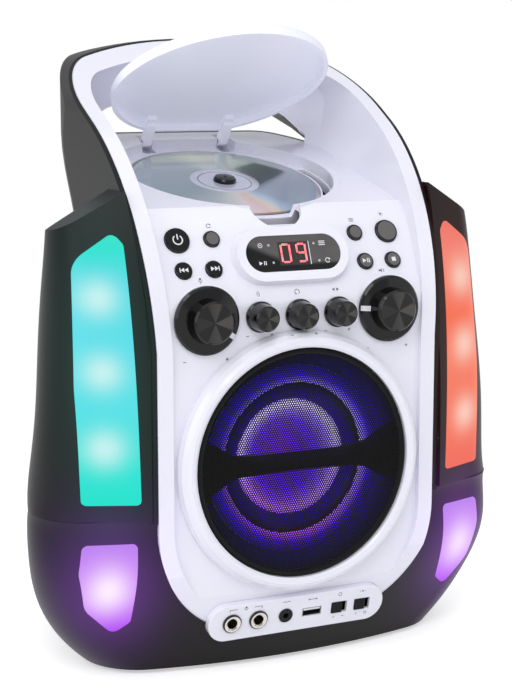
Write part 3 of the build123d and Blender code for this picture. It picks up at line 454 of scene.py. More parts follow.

# the same from the middle outwards, as a share of the grille's radius. On the cone, surround and liner this is the
# ring's light painted on, and the near-black band at the surround's outer edge is a painted shadow in the gap
# there
CONE_LIGHT_STOPS = [(0.0, "7a18e0"), (0.2, "6a20dc"), (0.32, "7440ee"), (0.40, "a888ff"), (0.47, "e8e0ff"),
              (0.51, "a890f8")]
# surround: the ring's light painted on, darkening to a painted shadow (05020c) in the gap at its outer edge
SURROUND_LIGHT_AND_SHADE_STOPS = [(0.52, "4416d8"), (0.57, "3410c0"), (0.61, "220890"), (0.64, "05020c")]
RING_STOPS = [(0.66, "d8c4ff"), (0.70, "a078ff"), (0.735, "5826dc"), (0.80, "2c1490")]
LINER_LIGHT_STOPS = [(0.81, "3c1cb4"), (0.87, "3c20b0"), (0.93, "321a90"), (1.0, "1c1040")]


def speaker_glow_finish(name, stops, tints, strength, gloss=0.5):
    """A speaker part lit violet, its light given as a glow: a colour by distance from the middle times one by the
    turn round it. On the lit ring it is the lamp's own light; on the cone, surround and liner it is painted light.
    """
    material, tree, shader = new_material(name, Roughness=gloss, Emission_Strength=strength,
                                          Specular_IOR_Level=0.2)
    turn, distance = round_axis(tree, GRILLE_AT, FORWARD)
    share = maths(tree, "DIVIDE", distance, GRILLE_R, clamp=True)
    colour = blend_colour(tree, 1.0, ramp(tree, share, stops), ramp(tree, turn, tints), "MULTIPLY")
    feed(tree, shader, Base_Color=lit_base(tree, colour, 0.06), Emission_Color=colour,
         Normal=bumps(tree, noise(tree, 700.0, 3.0), 0.2, 0.3 * MM))
    return material


def metal_finish(name, code, gloss=0.3):
    """Plain metal: noise darkens it by up to a fifth and roughens it."""
    material, tree, shader = new_material(name, Metallic=1.0)
    grain = noise(tree, 800.0, 4.0)
    shade = blend_colour(tree, grain, paint(code), paint(code, 0.82))
    feed(tree, shader, Base_Color=shade, Roughness=line(tree, grain, gloss, 0.12))
    return material


def board_finish(name, lacquer, track):
    """Circuit board: lacquer with paler tracks in a square pattern."""
    material, tree, shader = new_material(name, Roughness=0.35, Coat_Weight=0.3)
    tracks = add_node(tree, "TexBrick", Vector=object_place(tree), Scale=160.0,
                      Color1=paint(lacquer), Color2=paint(lacquer, 1.15), Mortar=paint(track))
    feed(tree, shader, Base_Color=tracks.outputs["Color"])
    return material


def lamp_finish(name, code, strength):
    """A lit surface, a little cloudy."""
    material, tree, shader = new_material(name, Roughness=0.4, Emission_Strength=strength)
    tint = blend_colour(tree, maths(tree, "MULTIPLY", noise(tree, 300.0), 0.3), paint(code), FULL_WHITE)
    feed(tree, shader, Base_Color=tint, Emission_Color=tint)
    return material


def button_finish(node):
    """Black gloss rim round a grey face."""
    middle, normal = front_face(node, -Vector(joints[node + "_press"]["axis"]))
    low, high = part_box(node)
    material, tree, shader = new_material(node.replace("_", " ") + " finish", Coat_Weight=0.1,
                                          Coat_Roughness=0.08, Specular_IOR_Level=0.35)
    distance = round_axis(tree, middle, normal)[1]
    on_face = maths(tree, "LESS_THAN", distance, (high.x - low.x) / 2 - BUTTON_RIM)
    grain = noise(tree, 900.0, 3.0)
    face = blend_colour(tree, grain, paint("585654"), paint("6a6866"))
    feed(tree, shader, Base_Color=blend_colour(tree, on_face, paint("101011"), face),
         Roughness=line(tree, on_face, 0.22, 0.14), Normal=bumps(tree, grain, 0.05))
    return material


def jack_finish(node):
    """Plated ring in a dark collar."""
    mount = next(m for m in frame["record"]["mounts"] if m["name"] == node.replace("jack", "socket"))
    material, tree, shader = new_material(node.replace("_", " ") + " finish")
    distance = round_axis(tree, Vector(mount["pos_m"]), Vector(mount["axis"]))[1]
    collar = maths(tree, "GREATER_THAN", distance, PLATED_R)
    grain = noise(tree, 500.0, 3.0)
    plate = blend_colour(tree, grain, paint("dedad0"), paint("b8b4a8"))
    feed(tree, shader, Base_Color=blend_colour(tree, collar, plate, paint("2c2b2a")),
         Metallic=line(tree, collar, 1.0, -0.7), Roughness=line(tree, grain, 0.14, 0.1))
    return material


def window_finish():
    """Smoked window: black at the left and along the bottom, and a painted grey sheen, the room's reflection, on
    the rest.
    """
    low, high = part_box("display_window")
    material, tree, shader = new_material("smoked window", Roughness=0.1, Specular_IOR_Level=0.2,
                                          Coat_Weight=0.1, Coat_Roughness=0.03)
    offset = vector_maths(tree, "SUBTRACT", object_place(tree), (low + high) / 2)
    offset = add_node(tree, "SeparateXYZ", Vector=offset).outputs
    across = maths(tree, "DIVIDE", offset["X"], WINDOW_HALF_WIDTH)
    up = maths(tree, "DIVIDE", offset["Z"], WINDOW_HALF_HEIGHT)
    slanting = between(tree, line(tree, across, up, 1.1), -0.95, -0.45, "SMOOTHSTEP")
    level = between(tree, up, -0.75, -0.5, "SMOOTHSTEP")
    # painted reflection: the room's grey sheen, mottled; 060607 is the window's own black
    grey = blend_colour(tree, noise(tree, 60.0), paint("4a4746"), paint("62605e"))
    colour = blend_colour(tree, maths(tree, "MULTIPLY", slanting, level), paint("060607"), grey)
    feed(tree, shader, Base_Color=colour)
    return material


WHITE = white_finish()
CHARCOAL = charcoal_finish()
# the lid's pale glow is painted light: it stands in for room light passing through the lid and brightening its
# shaded underside
LID_WHITE_PAINTED_GLOW = moulded("lid white plastic", "eeeef6", drift=0.02, grain=900.0, depth=0.04,
                    Coat_Weight=0.3, Coat_Roughness=0.15, Emission_Color=paint("e4e6ff"),
                    Emission_Strength=0.15)
BLACK_GLOSS = moulded("black gloss plastic", "0b0b0c", gloss=0.16, drift=0.1, gloss_drift=0.04,
                      grain=1200.0, depth=0.03, Coat_Weight=0.1, Coat_Roughness=0.05,
                      Specular_IOR_Level=0.3)
BLACK_SATIN = moulded("black satin plastic", "101011", gloss=0.45, drift=0.15, gloss_drift=0.1, depth=0.2,
                      Specular_IOR_Level=0.22)
DRIVE_GREY = moulded("drive plastic", "3a3b3e", gloss=0.5, drift=0.1, depth=0.25)
RUBBER = moulded("dark rubber", "19191a", gloss=0.75, drift=0.15, depth=0.4, grain=2000.0)
PRINT_GREY = moulded("printed mark", "5a5a66", gloss=0.5, drift=0.1, depth=0.05)
PRINT_WHITE = moulded("white symbol", "e6e6ea", gloss=0.4, drift=0.03, depth=0.05)
GRILLE_BLACK = moulded("grille paint", "0a0a0b", gloss=0.42, drift=0.1, gloss_drift=0.1,
                       Specular_IOR_Level=0.16)
DIGIT_FIELD = moulded("digit field", "2a2423", drift=0.2, depth=0.05)
STEEL = metal_finish("plain steel", "a9abae")
DARK_STEEL = metal_finish("blackened steel", "3c3c40", gloss=0.35)
CIRCUIT = board_finish("green circuit board", "0d4a2a", "2f8a55")
DARK_CIRCUIT = board_finish("black circuit board", "0c0c0d", "1c1c1e")
LAMP = lamp_finish("lamp board", "dfe6ea", 0.6)
DIGIT_RED = lamp_finish("red digit", "e8142a", 0.85)
INDICATOR = lamp_finish("indicator lamp", "9a9aa4", 0.15)

FINISHES = {
    "disc": disc_finish(), "display_window": window_finish(),
    "left_tower_lens": tower_lens_finish(-1, "cyan lens", CYAN_STOPS, "c4f3f1"),
    "right_tower_lens": tower_lens_finish(1, "coral lens", CORAL_STOPS, "fcc8b6"),
    "left_base_lens": base_lens_finish(-1, "fbe8ff"), "right_base_lens": base_lens_finish(1, "f2d8ff"),
    # the cone's and the surround's violet glow is painted light from the ring, with a painted shadow in the gap
    # round the surround
    "speaker_cone": speaker_glow_finish("speaker cone", CONE_LIGHT_STOPS, CONE_LIGHT_TINTS, 1.75),
    "cone_surround": speaker_glow_finish("cone surround", SURROUND_LIGHT_AND_SHADE_STOPS, CONE_LIGHT_TINTS, 0.6),
}
for finish, names in (
        (WHITE, "front_fascia disc_well socket_plate"),
        (LID_WHITE_PAINTED_GLOW, "disc_lid"),
        (CHARCOAL, "front_cabinet arch_hood rear_cabinet left_tower right_tower"),
        (BLACK_SATIN, "speaker_basket aux_jack function_switch light_switch power_inlet"),
        (STEEL, "spindle_motor guide_rods feed_screw hinge_pins usb_port"),
        (DARK_STEEL, "speaker_magnet potentiometers cabinet_screws"),
        (DRIVE_GREY, "lens_sled drive_deck"),
        (RUBBER, "rubber_feet"),
        (CIRCUIT, "control_board main_board display_module"),
        (DARK_CIRCUIT, "socket_board"),
        (LAMP, "left_tower_lights right_tower_lights left_base_light right_base_light")):
    FINISHES.update(dict.fromkeys(names.split(), finish))
for make_finish, names in (
        (knob_gloss_and_painted_sheen, "mic_volume_knob echo_knob talkover_knob balance_knob master_volume_knob"),
        (button_finish, "repeat_button program_button lights_button play_button stop_button"),
        (jack_finish, "left_mic_jack right_mic_jack")):
    FINISHES.update({name: make_finish(name) for name in names.split()})
for name, piece in nodes.items():
    piece.data.materials.clear()
    piece.data.materials.append(FINISHES.get(name, BLACK_GLOSS))


# -------------- meshes
def new_piece(name, points, faces, finish, body, smooth=False):
    """A mesh object of world points (metres) that rides on a body."""
    mesh = bpy.data.meshes.new(name)
    mesh.from_pydata(points.tolist(), [], faces)
    mesh.polygons.foreach_set("use_smooth", [smooth] * len(mesh.polygons))
    mesh.materials.append(finish)
    mesh.update()
    made = bpy.data.objects.new(name, mesh)
    bpy.context.scene.collection.objects.link(made)
    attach(made, body)
    return made


def seat(middle, normal, right=None):
    """4 x 4 placing matrix whose local x, y, z are right, up and out of a face."""
    normal = Vector(normal).normalized()
    if right is None:
        right, up = axis_frame(normal)
    else:
        right = (right - right.dot(normal) * normal).normalized()
        up = normal.cross(right)
    return Matrix(((right.x, up.x, normal.x, middle[0]), (right.y, up.y, normal.y, middle[1]),
                   (right.z, up.z, normal.z, middle[2]), (0, 0, 0, 1)))


def placed(points, matrix):
    """Local millimetre points carried to world metres."""
    turn = np.array(matrix)
    return np.asarray(points, float) * MM @ turn[:3, :3].T + turn[:3, 3]


def grid_faces(rings, count, joined):
    """Quads between rings of count points each; joined closes the last ring on the first."""
    i, j = np.meshgrid(np.arange(rings if joined else rings - 1), np.arange(count), indexing="ij")
    i2, j2 = (i + 1) % rings, (j + 1) % count
    quads = [i * count + j, i2 * count + j, i2 * count + j2, i * count + j2]
    return np.stack(quads, -1).reshape(-1, 4)


def lathe(profile, segments):
    """Surface of revolution about local z: the closed profile of (radius, height) swept once round."""
    radius, height = np.array(profile, float).T
    angle = np.linspace(0, TAU, segments, endpoint=False)
    points = [np.outer(np.cos(angle), radius), np.outer(np.sin(angle), radius),
              np.tile(height, (segments, 1))]
    return np.stack(points, -1).reshape(-1, 3), grid_faces(segments, len(radius), True).tolist()


def prisms(outlines, low, high):
    """Flat shapes given thickness: each closed outline of (x, y) becomes a block from low to high. One
    with a negative shoelace sum runs clockwise, and is turned round first."""
    points, faces, start = [], [], 0
    for outline in outlines:
        x, y = np.array(outline, float).T
        if np.sum(x * np.roll(y, -1) - np.roll(x, -1) * y) < 0:
            x, y = x[::-1], y[::-1]
        count = len(x)
        points += [np.column_stack([x, y, np.full(count, level)]) for level in (low, high)]
        ring = start + np.arange(count)
        after = np.roll(ring, -1)
        faces += [ring[::-1].tolist(), (ring + count).tolist()]
        faces += np.stack([ring, after, after + count, ring + count], -1).tolist()
        start += 2 * count
    return np.concatenate(points), faces


def flat_piece(name, outlines, layer, matrix, finish, body):
    """A piece of thin blocks on a face, between the two heights of its layer."""
    points, faces = prisms(outlines, *layer)
    new_piece(name, placed(points, matrix), faces, finish, body)


def stroke(path, width):
    """A line of even width along a path of (x, y): half the width to each side, one quad for each run."""
    path = np.asarray(path, float)
    run = np.gradient(path, axis=0)
    side = np.stack([-run[:, 1], run[:, 0]], -1)
    side *= width / 2 / np.linalg.norm(side, axis=1, keepdims=True)
    left, right = path + side, path - side
    return list(np.stack([left[:-1], left[1:], right[1:], right[:-1]], 1))


def arc(radius, start, end, middle=(0, 0), steps=18):
    """Points of a circle between two angles in degrees."""
    angle = np.radians(np.linspace(start, end, steps))
    return np.stack([middle[0] + radius * np.cos(angle), middle[1] + radius * np.sin(angle)], -1)


def boxes(*spots):
    """Rectangles of (x, y, width, height), each corner half of both sides from the middle (x, y)."""
    corners = ((-0.5, -0.5), (0.5, -0.5), (0.5, 0.5), (-0.5, 0.5))
    return [[(x + i * width, y + j * height) for i, j in corners] for x, y, width, height in spots]


def disc_outline(x, y, radius, steps=20):
    """Closed circle of equal steps, its last point one step short of the first."""
    return arc(radius, 0, 360 - 360 / steps, (x, y), steps)


def triangle(x, y, width, height):
    """A triangle that points along the sign of its width."""
    return [(x - width / 2, y - height / 2), (x - width / 2, y + height / 2), (x + width / 2, y)]


def circle(radius, middle=(0, 0), steps=18, width=0.35):
    """A ring drawn as a stroke."""
    return stroke(arc(radius, 0, 360, middle, steps), width)


def surface_tree(node):
    """Search tree of a node's surface."""
    mesh = nodes[node].data
    return BVHTree.FromPolygons([v.co[:] for v in mesh.vertices], [p.vertices[:] for p in mesh.polygons])


RAY_START = -0.4        # in front of the whole machine, metres


def first_hit(surface, x, z):
    """Point and normal where a line from the front first meets a surface, at (x, z) in metres."""
    return surface.ray_cast(Vector((x, RAY_START, z)), -FORWARD)[:2]


# -------------- speaker
HOLE_PITCH = 1.52
HOLE_R = 0.56
SHEET_R = 67.0
SHEET_FACE = -0.2
SHEET_THICK = 0.8

# closed profiles of (radius, height in front of the grille's face)
RIM_PROFILE = [
    (66.0, -0.6), (66.8, 0.15), (68.2, 0.35), (69.4, 0.0), (70.1, -0.9), (70.1, -2.4), (66.0, -2.4)]
RING_PROFILE = [
    (46.9, -16.3), (46.9, -13.2), (47.5, -12.2), (49.0, -11.8), (56.4, -12.6), (57.5, -13.6),
    (57.5, -16.3)]
LINER_PROFILE = [
    (57.7, -14.9), (69.7, -14.9), (69.7, -4.2), (70.75, -4.2), (70.75, -15.05), (57.7, -15.05)]

# crossbar: half height by the distance from its middle, and its section as (side, inset, height)
BAR_REACH = 69.9
BAR_END_GAP = 0.3
BAR_STEPS = 90
BAR_AT = [0, 30, 42, 47, 51, 55, 60, 70]
BAR_HALF = [5.6, 5.9, 6.8, 8.6, 11.8, 14.6, 17.0, 19.5]
BAR_SMOOTHING = 7
BAR_SECTION = [
    (-1.0, 0.0, -8.6), (-1.0, 0.0, -6.3), (-1.0, 0.8, -5.6), (1.0, -0.8, -5.6), (1.0, 0.0, -6.3),
    (1.0, 0.0, -8.6)]


def perforated_sheet():
    """Sheet with six-sided holes on a triangular lattice: a bridge between each two neighbouring holes, a
    triangle where three meet, the same again at the back, and a wall on each edge of one face alone."""
    row_pitch = HOLE_PITCH * math.sqrt(3) / 2
    rows = int(SHEET_R / row_pitch) + 2
    columns = int(SHEET_R / HOLE_PITCH) + 2
    j, i = np.meshgrid(np.arange(-rows, rows + 1), np.arange(-columns - rows, columns + rows + 1),
                       indexing="ij")
    x = (i + j / 2) * HOLE_PITCH
    y = j * row_pitch
    inside = x ** 2 + y ** 2 < SHEET_R ** 2
    number = np.full(inside.shape, -1)
    number[inside] = np.arange(inside.sum())
    corner = np.radians(30 + 60 * np.arange(6))
    middles = np.stack([x[inside], y[inside]], -1)
    hole = np.stack([np.cos(corner), np.sin(corner)], -1) * HOLE_R
    flat = (middles[:, None, :] + hole[None]).reshape(-1, 2)

    def step(dj, di):
        """Number of the hole that lies dj rows and di columns from each hole."""
        return np.roll(np.roll(number, -dj, 0), -di, 1)

    def rows_of(*pairs):
        """One face for each hole whose neighbours all exist: pairs are (hole number, corner)."""
        ok = np.all([n >= 0 for n, _ in pairs], axis=0)
        return np.stack([n[ok] * 6 + k for n, k in pairs], -1)

    east, north_east, north_west = step(0, 1), step(1, 0), step(1, -1)
    quads = np.concatenate([
        rows_of((number, 0), (number, 5), (east, 3), (east, 2)),
        rows_of((number, 1), (number, 0), (north_east, 4), (north_east, 3)),
        rows_of((number, 2), (number, 1), (north_west, 5), (north_west, 4))])
    triangles = np.concatenate([
        rows_of((number, 0), (east, 2), (north_east, 4)),
        rows_of((number, 1), (north_east, 3), (north_west, 5))])
    total = len(flat)
    edges = np.concatenate([quads[:, [k, (k + 1) % 4]] for k in range(4)]
                           + [triangles[:, [k, (k + 1) % 3]] for k in range(3)])
    keys = np.sort(edges, axis=1)
    _, first, counts = np.unique(keys[:, 0] * total + keys[:, 1], return_index=True, return_counts=True)
    lone = edges[first[counts == 1]]
    walls = np.stack([lone[:, 1], lone[:, 0], lone[:, 0] + total, lone[:, 1] + total], -1)
    points = np.concatenate([np.column_stack([flat, np.full(total, SHEET_FACE - depth)])
                             for depth in (0, SHEET_THICK)])
    faces = (quads.tolist() + triangles.tolist() + (quads[:, ::-1] + total).tolist()
             + (triangles[:, ::-1] + total).tolist() + walls.tolist())
    return points, faces


def crossbar_shape():
    """The half height along the bar, smoothed by a running mean and cut to the opening's circle, carries
    a section of six points whose front edges are set in."""
    x = np.linspace(-BAR_REACH + BAR_END_GAP, BAR_REACH - BAR_END_GAP, BAR_STEPS)
    half = np.pad(np.interp(np.abs(x), BAR_AT, BAR_HALF), BAR_SMOOTHING // 2, "edge")
    half = np.convolve(half, np.ones(BAR_SMOOTHING) / BAR_SMOOTHING, "valid")
    half = np.minimum(half, np.sqrt(BAR_REACH ** 2 - x ** 2))
    side, inset, height = np.array(BAR_SECTION).T
    count = len(side)
    points = np.stack([np.repeat(x, count), (np.outer(half, side) + inset).ravel(),
                       np.tile(height, BAR_STEPS)], -1)
    last = len(points) - 1
    faces = grid_faces(BAR_STEPS, count, False)[:, [0, 3, 2, 1]].tolist()
    faces += [list(range(count)), list(range(last, last - count, -1))]
    return points, faces


def make_speaker_front():
    """Grille sheet and rim, lit ring, crossbar and the liner of the space behind the grille, painted with the
    ring's violet light and with shade.
    """
    matrix = seat(Vector((0, GRILLE_FACE, GRILLE_AT.z)), FORWARD)

    def part(name, shape, finish, slot, smooth=False):
        """A fixed piece on the grille's own frame."""
        points, faces = shape
        return new_piece(name, placed(points, matrix), faces, finish, "machine", smooth)

    sheet = part("grille_sheet", perforated_sheet(), GRILLE_BLACK, "grille_metal")
    bm = bmesh.new()
    bm.from_mesh(sheet.data)
    bmesh.ops.recalc_face_normals(bm, faces=bm.faces)
    bm.to_mesh(sheet.data)
    bm.free()
    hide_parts("speaker_grille")
    part("grille_rim", lathe(RIM_PROFILE, 160), GRILLE_BLACK, "grille_metal", True)
    ring_finish = speaker_glow_finish("light ring", RING_STOPS, RING_TINTS, 1.6, 0.3)
    ring = part("lit_ring", lathe(RING_PROFILE, 160), ring_finish, "ring_violet", True)
    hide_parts("light_ring")
    # the liner's violet light and its dark parts are painted: a glow standing in for the ring's light, and shade
    # behind the grille
    liner_painted_glow = speaker_glow_finish("speaker space liner", LINER_LIGHT_STOPS, GLOW_TINTS, 0.8, 0.6)
    part("speaker_liner", lathe(LINER_PROFILE, 128), liner_painted_glow, "black_plastic")
    bar = part("crossbar", crossbar_shape(), BLACK_SATIN, "black_plastic")
    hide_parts("grille_crossbar")


# -------------- symbols, digits and marks
# the two heights of each kind of mark over the face that carries it, in mm
SYMBOL_LAYER = (-0.05, 0.06)
FIELD_LAYER = (-0.02, 0.02)
DIGIT_LAYER = (0.03, 0.09)
WINDOW_LAYER = (0.0, 0.05)
PANEL_LAYER = (-0.05, 0.05)
PLATE_LAYER = (-0.04, 0.05)
TONGUE_LAYER = (-2.0, -0.35)

SIGN = 2.9              # height of the signs on the buttons
SYMBOLS = {
    "power_button": stroke(arc(2.9, 125, 415), 0.75) + boxes((0, 1.9, 0.75, 3.4)),
    "previous_button": boxes((-2.7, 0, 0.6, SIGN))
    + [triangle(-1.2, 0, -2.3, SIGN), triangle(1.3, 0, -2.3, SIGN)],
    "next_button": boxes((2.7, 0, 0.6, SIGN))
    + [triangle(1.2, 0, 2.3, SIGN), triangle(-1.3, 0, 2.3, SIGN)],
    "play_button": [triangle(-1.1, 0, 2.6, SIGN)] + boxes((0.9, 0, 0.6, SIGN), (2.1, 0, 0.6, SIGN)),
    "stop_button": boxes((0, 0, 2.7, 2.7)),
}

POINTER_SIDE = [(14.0, 3.0), (14.0, 4.1), (19.1, 3.55), (20.1, 2.7), (20.1, 1.9)]  # radius, height
POINTER_HALF = 1.6
POINTER_CLOCK = {"mic_volume_knob": -32, "master_volume_knob": 176}  # degrees from the right

DIGIT_WIDTH = 5.6
DIGIT_HEIGHT = 10.8
DIGIT_BAR = 1.25
DIGIT_GAP = 0.3
DIGIT_X = 5.2
FIELD_AT = (0.3, -0.2)
FIELD_SIZE = (20.5, 14.4)
FIELD_EDGE_X = 10.6
MARK_ROW = 5.4          # height of the window's upper marks, and depth of its lower ones


def make_button_symbols():
    """A white sign on the middle of each small button's face."""
    for node, outlines in SYMBOLS.items():
        middle, normal = front_face(node, -Vector(joints[node + "_press"]["axis"]))
        flat_piece(node.replace("_button", "_symbol"), outlines, SYMBOL_LAYER, seat(middle, normal),
                   PRINT_WHITE, node)


def make_pointers():
    """Pale pointer block on the skirt of each large knob: its side outline carried across its width."""
    radius, height = np.array(POINTER_SIDE).T
    count = len(radius)
    points = np.concatenate([np.column_stack([radius, np.full(count, y), height])
                             for y in (-POINTER_HALF, POINTER_HALF)])
    ring = np.arange(count)
    after = np.roll(ring, -1)
    faces = [ring.tolist(), (ring[::-1] + count).tolist()]
    faces += np.stack([ring + count, after + count, after, ring], -1).tolist()
    for node, clock in POINTER_CLOCK.items():
        joint = joints[node + "_turn"]
        matrix = seat(Vector(joint["pos_m"]), Vector(joint["axis"]))
        matrix = matrix @ Matrix.Rotation(math.radians(clock), 4, "Z")
        new_piece(node.replace("_knob", "_pointer"), placed(points, matrix), faces, PRINT_WHITE, node)


def digit(x, lit):
    """Seven-segment digit, its middle at x; lit names the segments a to g."""
    flat = (DIGIT_WIDTH - DIGIT_BAR - DIGIT_GAP, DIGIT_BAR)
    upright = (DIGIT_BAR, DIGIT_HEIGHT / 2 - DIGIT_GAP)
    side, high, low = DIGIT_WIDTH / 2, DIGIT_HEIGHT / 2, DIGIT_HEIGHT / 4
    bars = {
        "a": (x, high, *flat), "g": (x, 0, *flat), "d": (x, -high, *flat),
        "b": (x + side, low, *upright), "c": (x + side, -low, *upright),
        "f": (x - side, low, *upright), "e": (x - side, -low, *upright),
    }
    return boxes(*(bars[name] for name in lit))


def make_display():
    """Digit field, two digits, the bright edge of the field, four indicators and the window's marks."""
    middle, normal = front_face("display_window", (0, -math.cos(WINDOW_TILT), math.sin(WINDOW_TILT)))
    matrix = seat(middle, normal)
    digits = digit(-DIGIT_X, "abcdef") + digit(DIGIT_X, "abcdfg")
    dots = [disc_outline(x, y, 0.75)
            for x, y in ((-15.8, MARK_ROW), (-14.2, -MARK_ROW), (14.2, MARK_ROW), (16.2, -MARK_ROW))]
    disc_sign = circle(1.3, (-21.3, MARK_ROW), 20, 0.4) + [disc_outline(-21.3, MARK_ROW, 0.4, 8)]
    play_sign = [triangle(-22.4, -MARK_ROW, 2.2, 2.4)]
    play_sign += boxes((-20.2, -MARK_ROW, 0.55, 2.4), (-19.1, -MARK_ROW, 0.55, 2.4))
    list_sign = boxes(*((19.6, MARK_ROW + k, 4.2, 0.5) for k in (-1.1, 0, 1.1)))
    loop_sign = stroke(arc(1.4, 30, 330, (21.8, -MARK_ROW), 16), 0.45) + [triangle(23.2, -4.7, 1.2, 1.6)]
    for name, outlines, layer, finish in (
            ("digit_field", boxes((*FIELD_AT, *FIELD_SIZE)), FIELD_LAYER, DIGIT_FIELD),
            ("digits", digits, DIGIT_LAYER, DIGIT_RED),
            ("field_edge", boxes((FIELD_EDGE_X, FIELD_AT[1], 0.5, FIELD_SIZE[1])), WINDOW_LAYER,
             PRINT_WHITE),
            ("indicators", dots, WINDOW_LAYER, INDICATOR),
            ("window_marks", disc_sign + play_sign + list_sign + loop_sign, WINDOW_LAYER, PRINT_WHITE)):
        flat_piece(name, outlines, layer, matrix, finish, "machine")


def sun_sign():
    """A dot with eight rays."""
    outlines = [disc_outline(0, 0, 0.7)]
    for turn in np.radians(range(0, 360, 45)):
        way = np.array([math.cos(turn), math.sin(turn)])
        outlines += stroke([way * 1.15, way * 1.75], 0.3)
    return outlines


PANEL_SIGNS = {
    "minus": boxes((0, 0, 1.9, 0.42)),
    "plus": boxes((0, 0, 1.9, 0.42), (0, 0, 0.42, 1.9)),
    "mic": stroke(arc(1.1, 180, 360, (0, 0.2), 12), 0.35) + [disc_outline(0, 0.9, 0.75)]
    + boxes((0, -1.4, 0.4, 1.1)),
    "echo": stroke(arc(1.0, -60, 60, (-1.4, 0)), 0.4) + stroke(arc(2.2, -50, 50, (-1.4, 0)), 0.4),
    "talk": stroke(arc(1.5, -60, 250), 0.4) + [triangle(-1.4, -1.4, -1.0, 1.2)],
    "balance": [triangle(-1.5, 0, -1.8, 2.2), triangle(1.5, 0, 1.8, 2.2)],
    "loud": boxes((-1.6, 0, 0.9, 1.1)) + [triangle(-0.7, 0, -1.6, 2.6)]
    + stroke(arc(1.3, -50, 50, (0.2, 0)), 0.4),
    "loop": stroke(arc(1.3, 40, 340), 0.4) + [triangle(1.3, 0.9, 1.1, 1.3)],
    "list": boxes(*((0, k, 3.2, 0.4) for k in (-0.9, 0, 0.9))),
    "sun": sun_sign(),
}
# sign, x and height on the panel
PANEL_SPOTS = [
    ("mic", -60.5, 239.6), ("loud", 60.5, 239.6), ("echo", -25.8, 230.4), ("talk", 0.0, 230.4),
    ("balance", 25.8, 230.4), ("loop", -47.9, 269.6), ("list", 47.9, 269.6), ("sun", 70.0, 272.4)]
# the minus and plus of each knob's scale: the knob's x, their distance from it, their height
SCALES = [(-60.5, 13.5, 193.5), (60.5, 13.5, 193.5), (-25.85, 8.0, 206.0), (0.0, 8.0, 206.0),
          (25.85, 8.0, 206.0)]


def make_panel_marks():
    """Plain marks where a machine carries its legends: signs, scales and small pictures, no words."""
    spots = PANEL_SPOTS + [(sign, x + way * reach, z) for x, reach, z in SCALES
                           for sign, way in (("minus", -1), ("plus", 1))]
    front = surface_tree("front_fascia")
    points, faces, start = [], [], 0
    for sign, x, z in spots:
        part, part_faces = prisms(PANEL_SIGNS[sign], *PANEL_LAYER)
        point, normal = first_hit(front, x * MM, z * MM)
        points.append(placed(part, seat(point, normal, RIGHT)))
        faces += [[k + start for k in face] for face in part_faces]
        start += len(part)
    new_piece("panel_marks", np.concatenate(points), faces, PRINT_GREY, "machine")


PLATE_TEST_X = 18.9 * MM    # a bare spot of the socket plate, between the USB socket and the switches
PLATE_SIGNS = (
    # bracket over the two microphone sockets, with a microphone
    boxes((-44.0, 8.4, 5.0, 0.35), (-27.5, 8.4, 5.0, 0.35),
          (-46.4, 7.7, 0.35, 1.6), (-25.1, 7.7, 0.35, 1.6))
    + stroke(arc(1.1, 180, 360, (-35.7, 8.3), 12), 0.35) + [disc_outline(-35.7, 8.9, 0.7)]
    # wave over the small socket, fork over the USB socket
    + stroke([(-11.0, 8.2), (-9.8, 8.9), (-8.5, 8.2), (-7.2, 8.9), (-6.0, 8.2)], 0.4)
    + boxes((9.5, 7.8, 4.4, 0.35)) + [triangle(12.2, 7.8, 1.2, 1.3), disc_outline(7.0, 7.8, 0.55, 10)]
    # disc and lamp over the switches, their two positions under them
    + circle(1.1, (28.5, 8.2)) + [disc_outline(44.5, 8.2, 0.6, 12)]
    + boxes((42.9, 8.2, 0.9, 0.3), (46.1, 8.2, 0.9, 0.3))
    + boxes((25.3, -7.4, 1.6, 0.4), (31.7, -7.4, 1.6, 0.4), (41.3, -7.4, 0.35, 1.6))
    + circle(0.8, (47.7, -7.4), 16))
USB_TONGUE = (9.5, 1.1, 11.2, 1.7)


def make_plate_marks():
    """The socket plate's marks and the pale tongue in its USB socket, on the plate's front plane."""
    low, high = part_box("socket_plate")
    point, normal = first_hit(surface_tree("socket_plate"), PLATE_TEST_X, (low.z + high.z) / 2)
    matrix = seat(point - Vector((PLATE_TEST_X, 0, 0)), normal)
    flat_piece("socket_marks", PLATE_SIGNS, PLATE_LAYER, matrix, PRINT_GREY, "machine")
    flat_piece("usb_tongue", boxes(USB_TONGUE), TONGUE_LAYER, matrix, PRINT_WHITE, "machine")


# -------------- floor, light and camera
FLOOR_HALF = 6.0
FLOOR_GREY = (0.88, 0.88, 0.88, 1)
FLOOR_LIFT = 0.5        # light added to what the camera sees of the floor, so that it reads white
FADE_FROM = 0.22        # radius where the floor starts to fade into the backdrop, metres
FADE_TO = 0.6
WORLD_TINT = (0.94, 0.95, 1.0, 1)
WORLD_STRENGTH = 0.66
LIGHT_AIM = (0, 0, 0.18)
# name, place, size, power
LIGHTS = [
    ("overhead", (0.0, -0.3, 1.9), (1.8, 1.8), 6),
    ("left", (-1.7, -0.9, 0.9), (1.0, 1.4), 6.5),
    ("key", (-0.75, -1.35, 1.5), (0.9, 0.9), 9),
    ("right_front", (1.3, -1.6, 0.7), (0.8, 1.6), 2),
    ("back_left", (-1.2, 1.3, 1.1), (1.0, 1.2), 5),
]


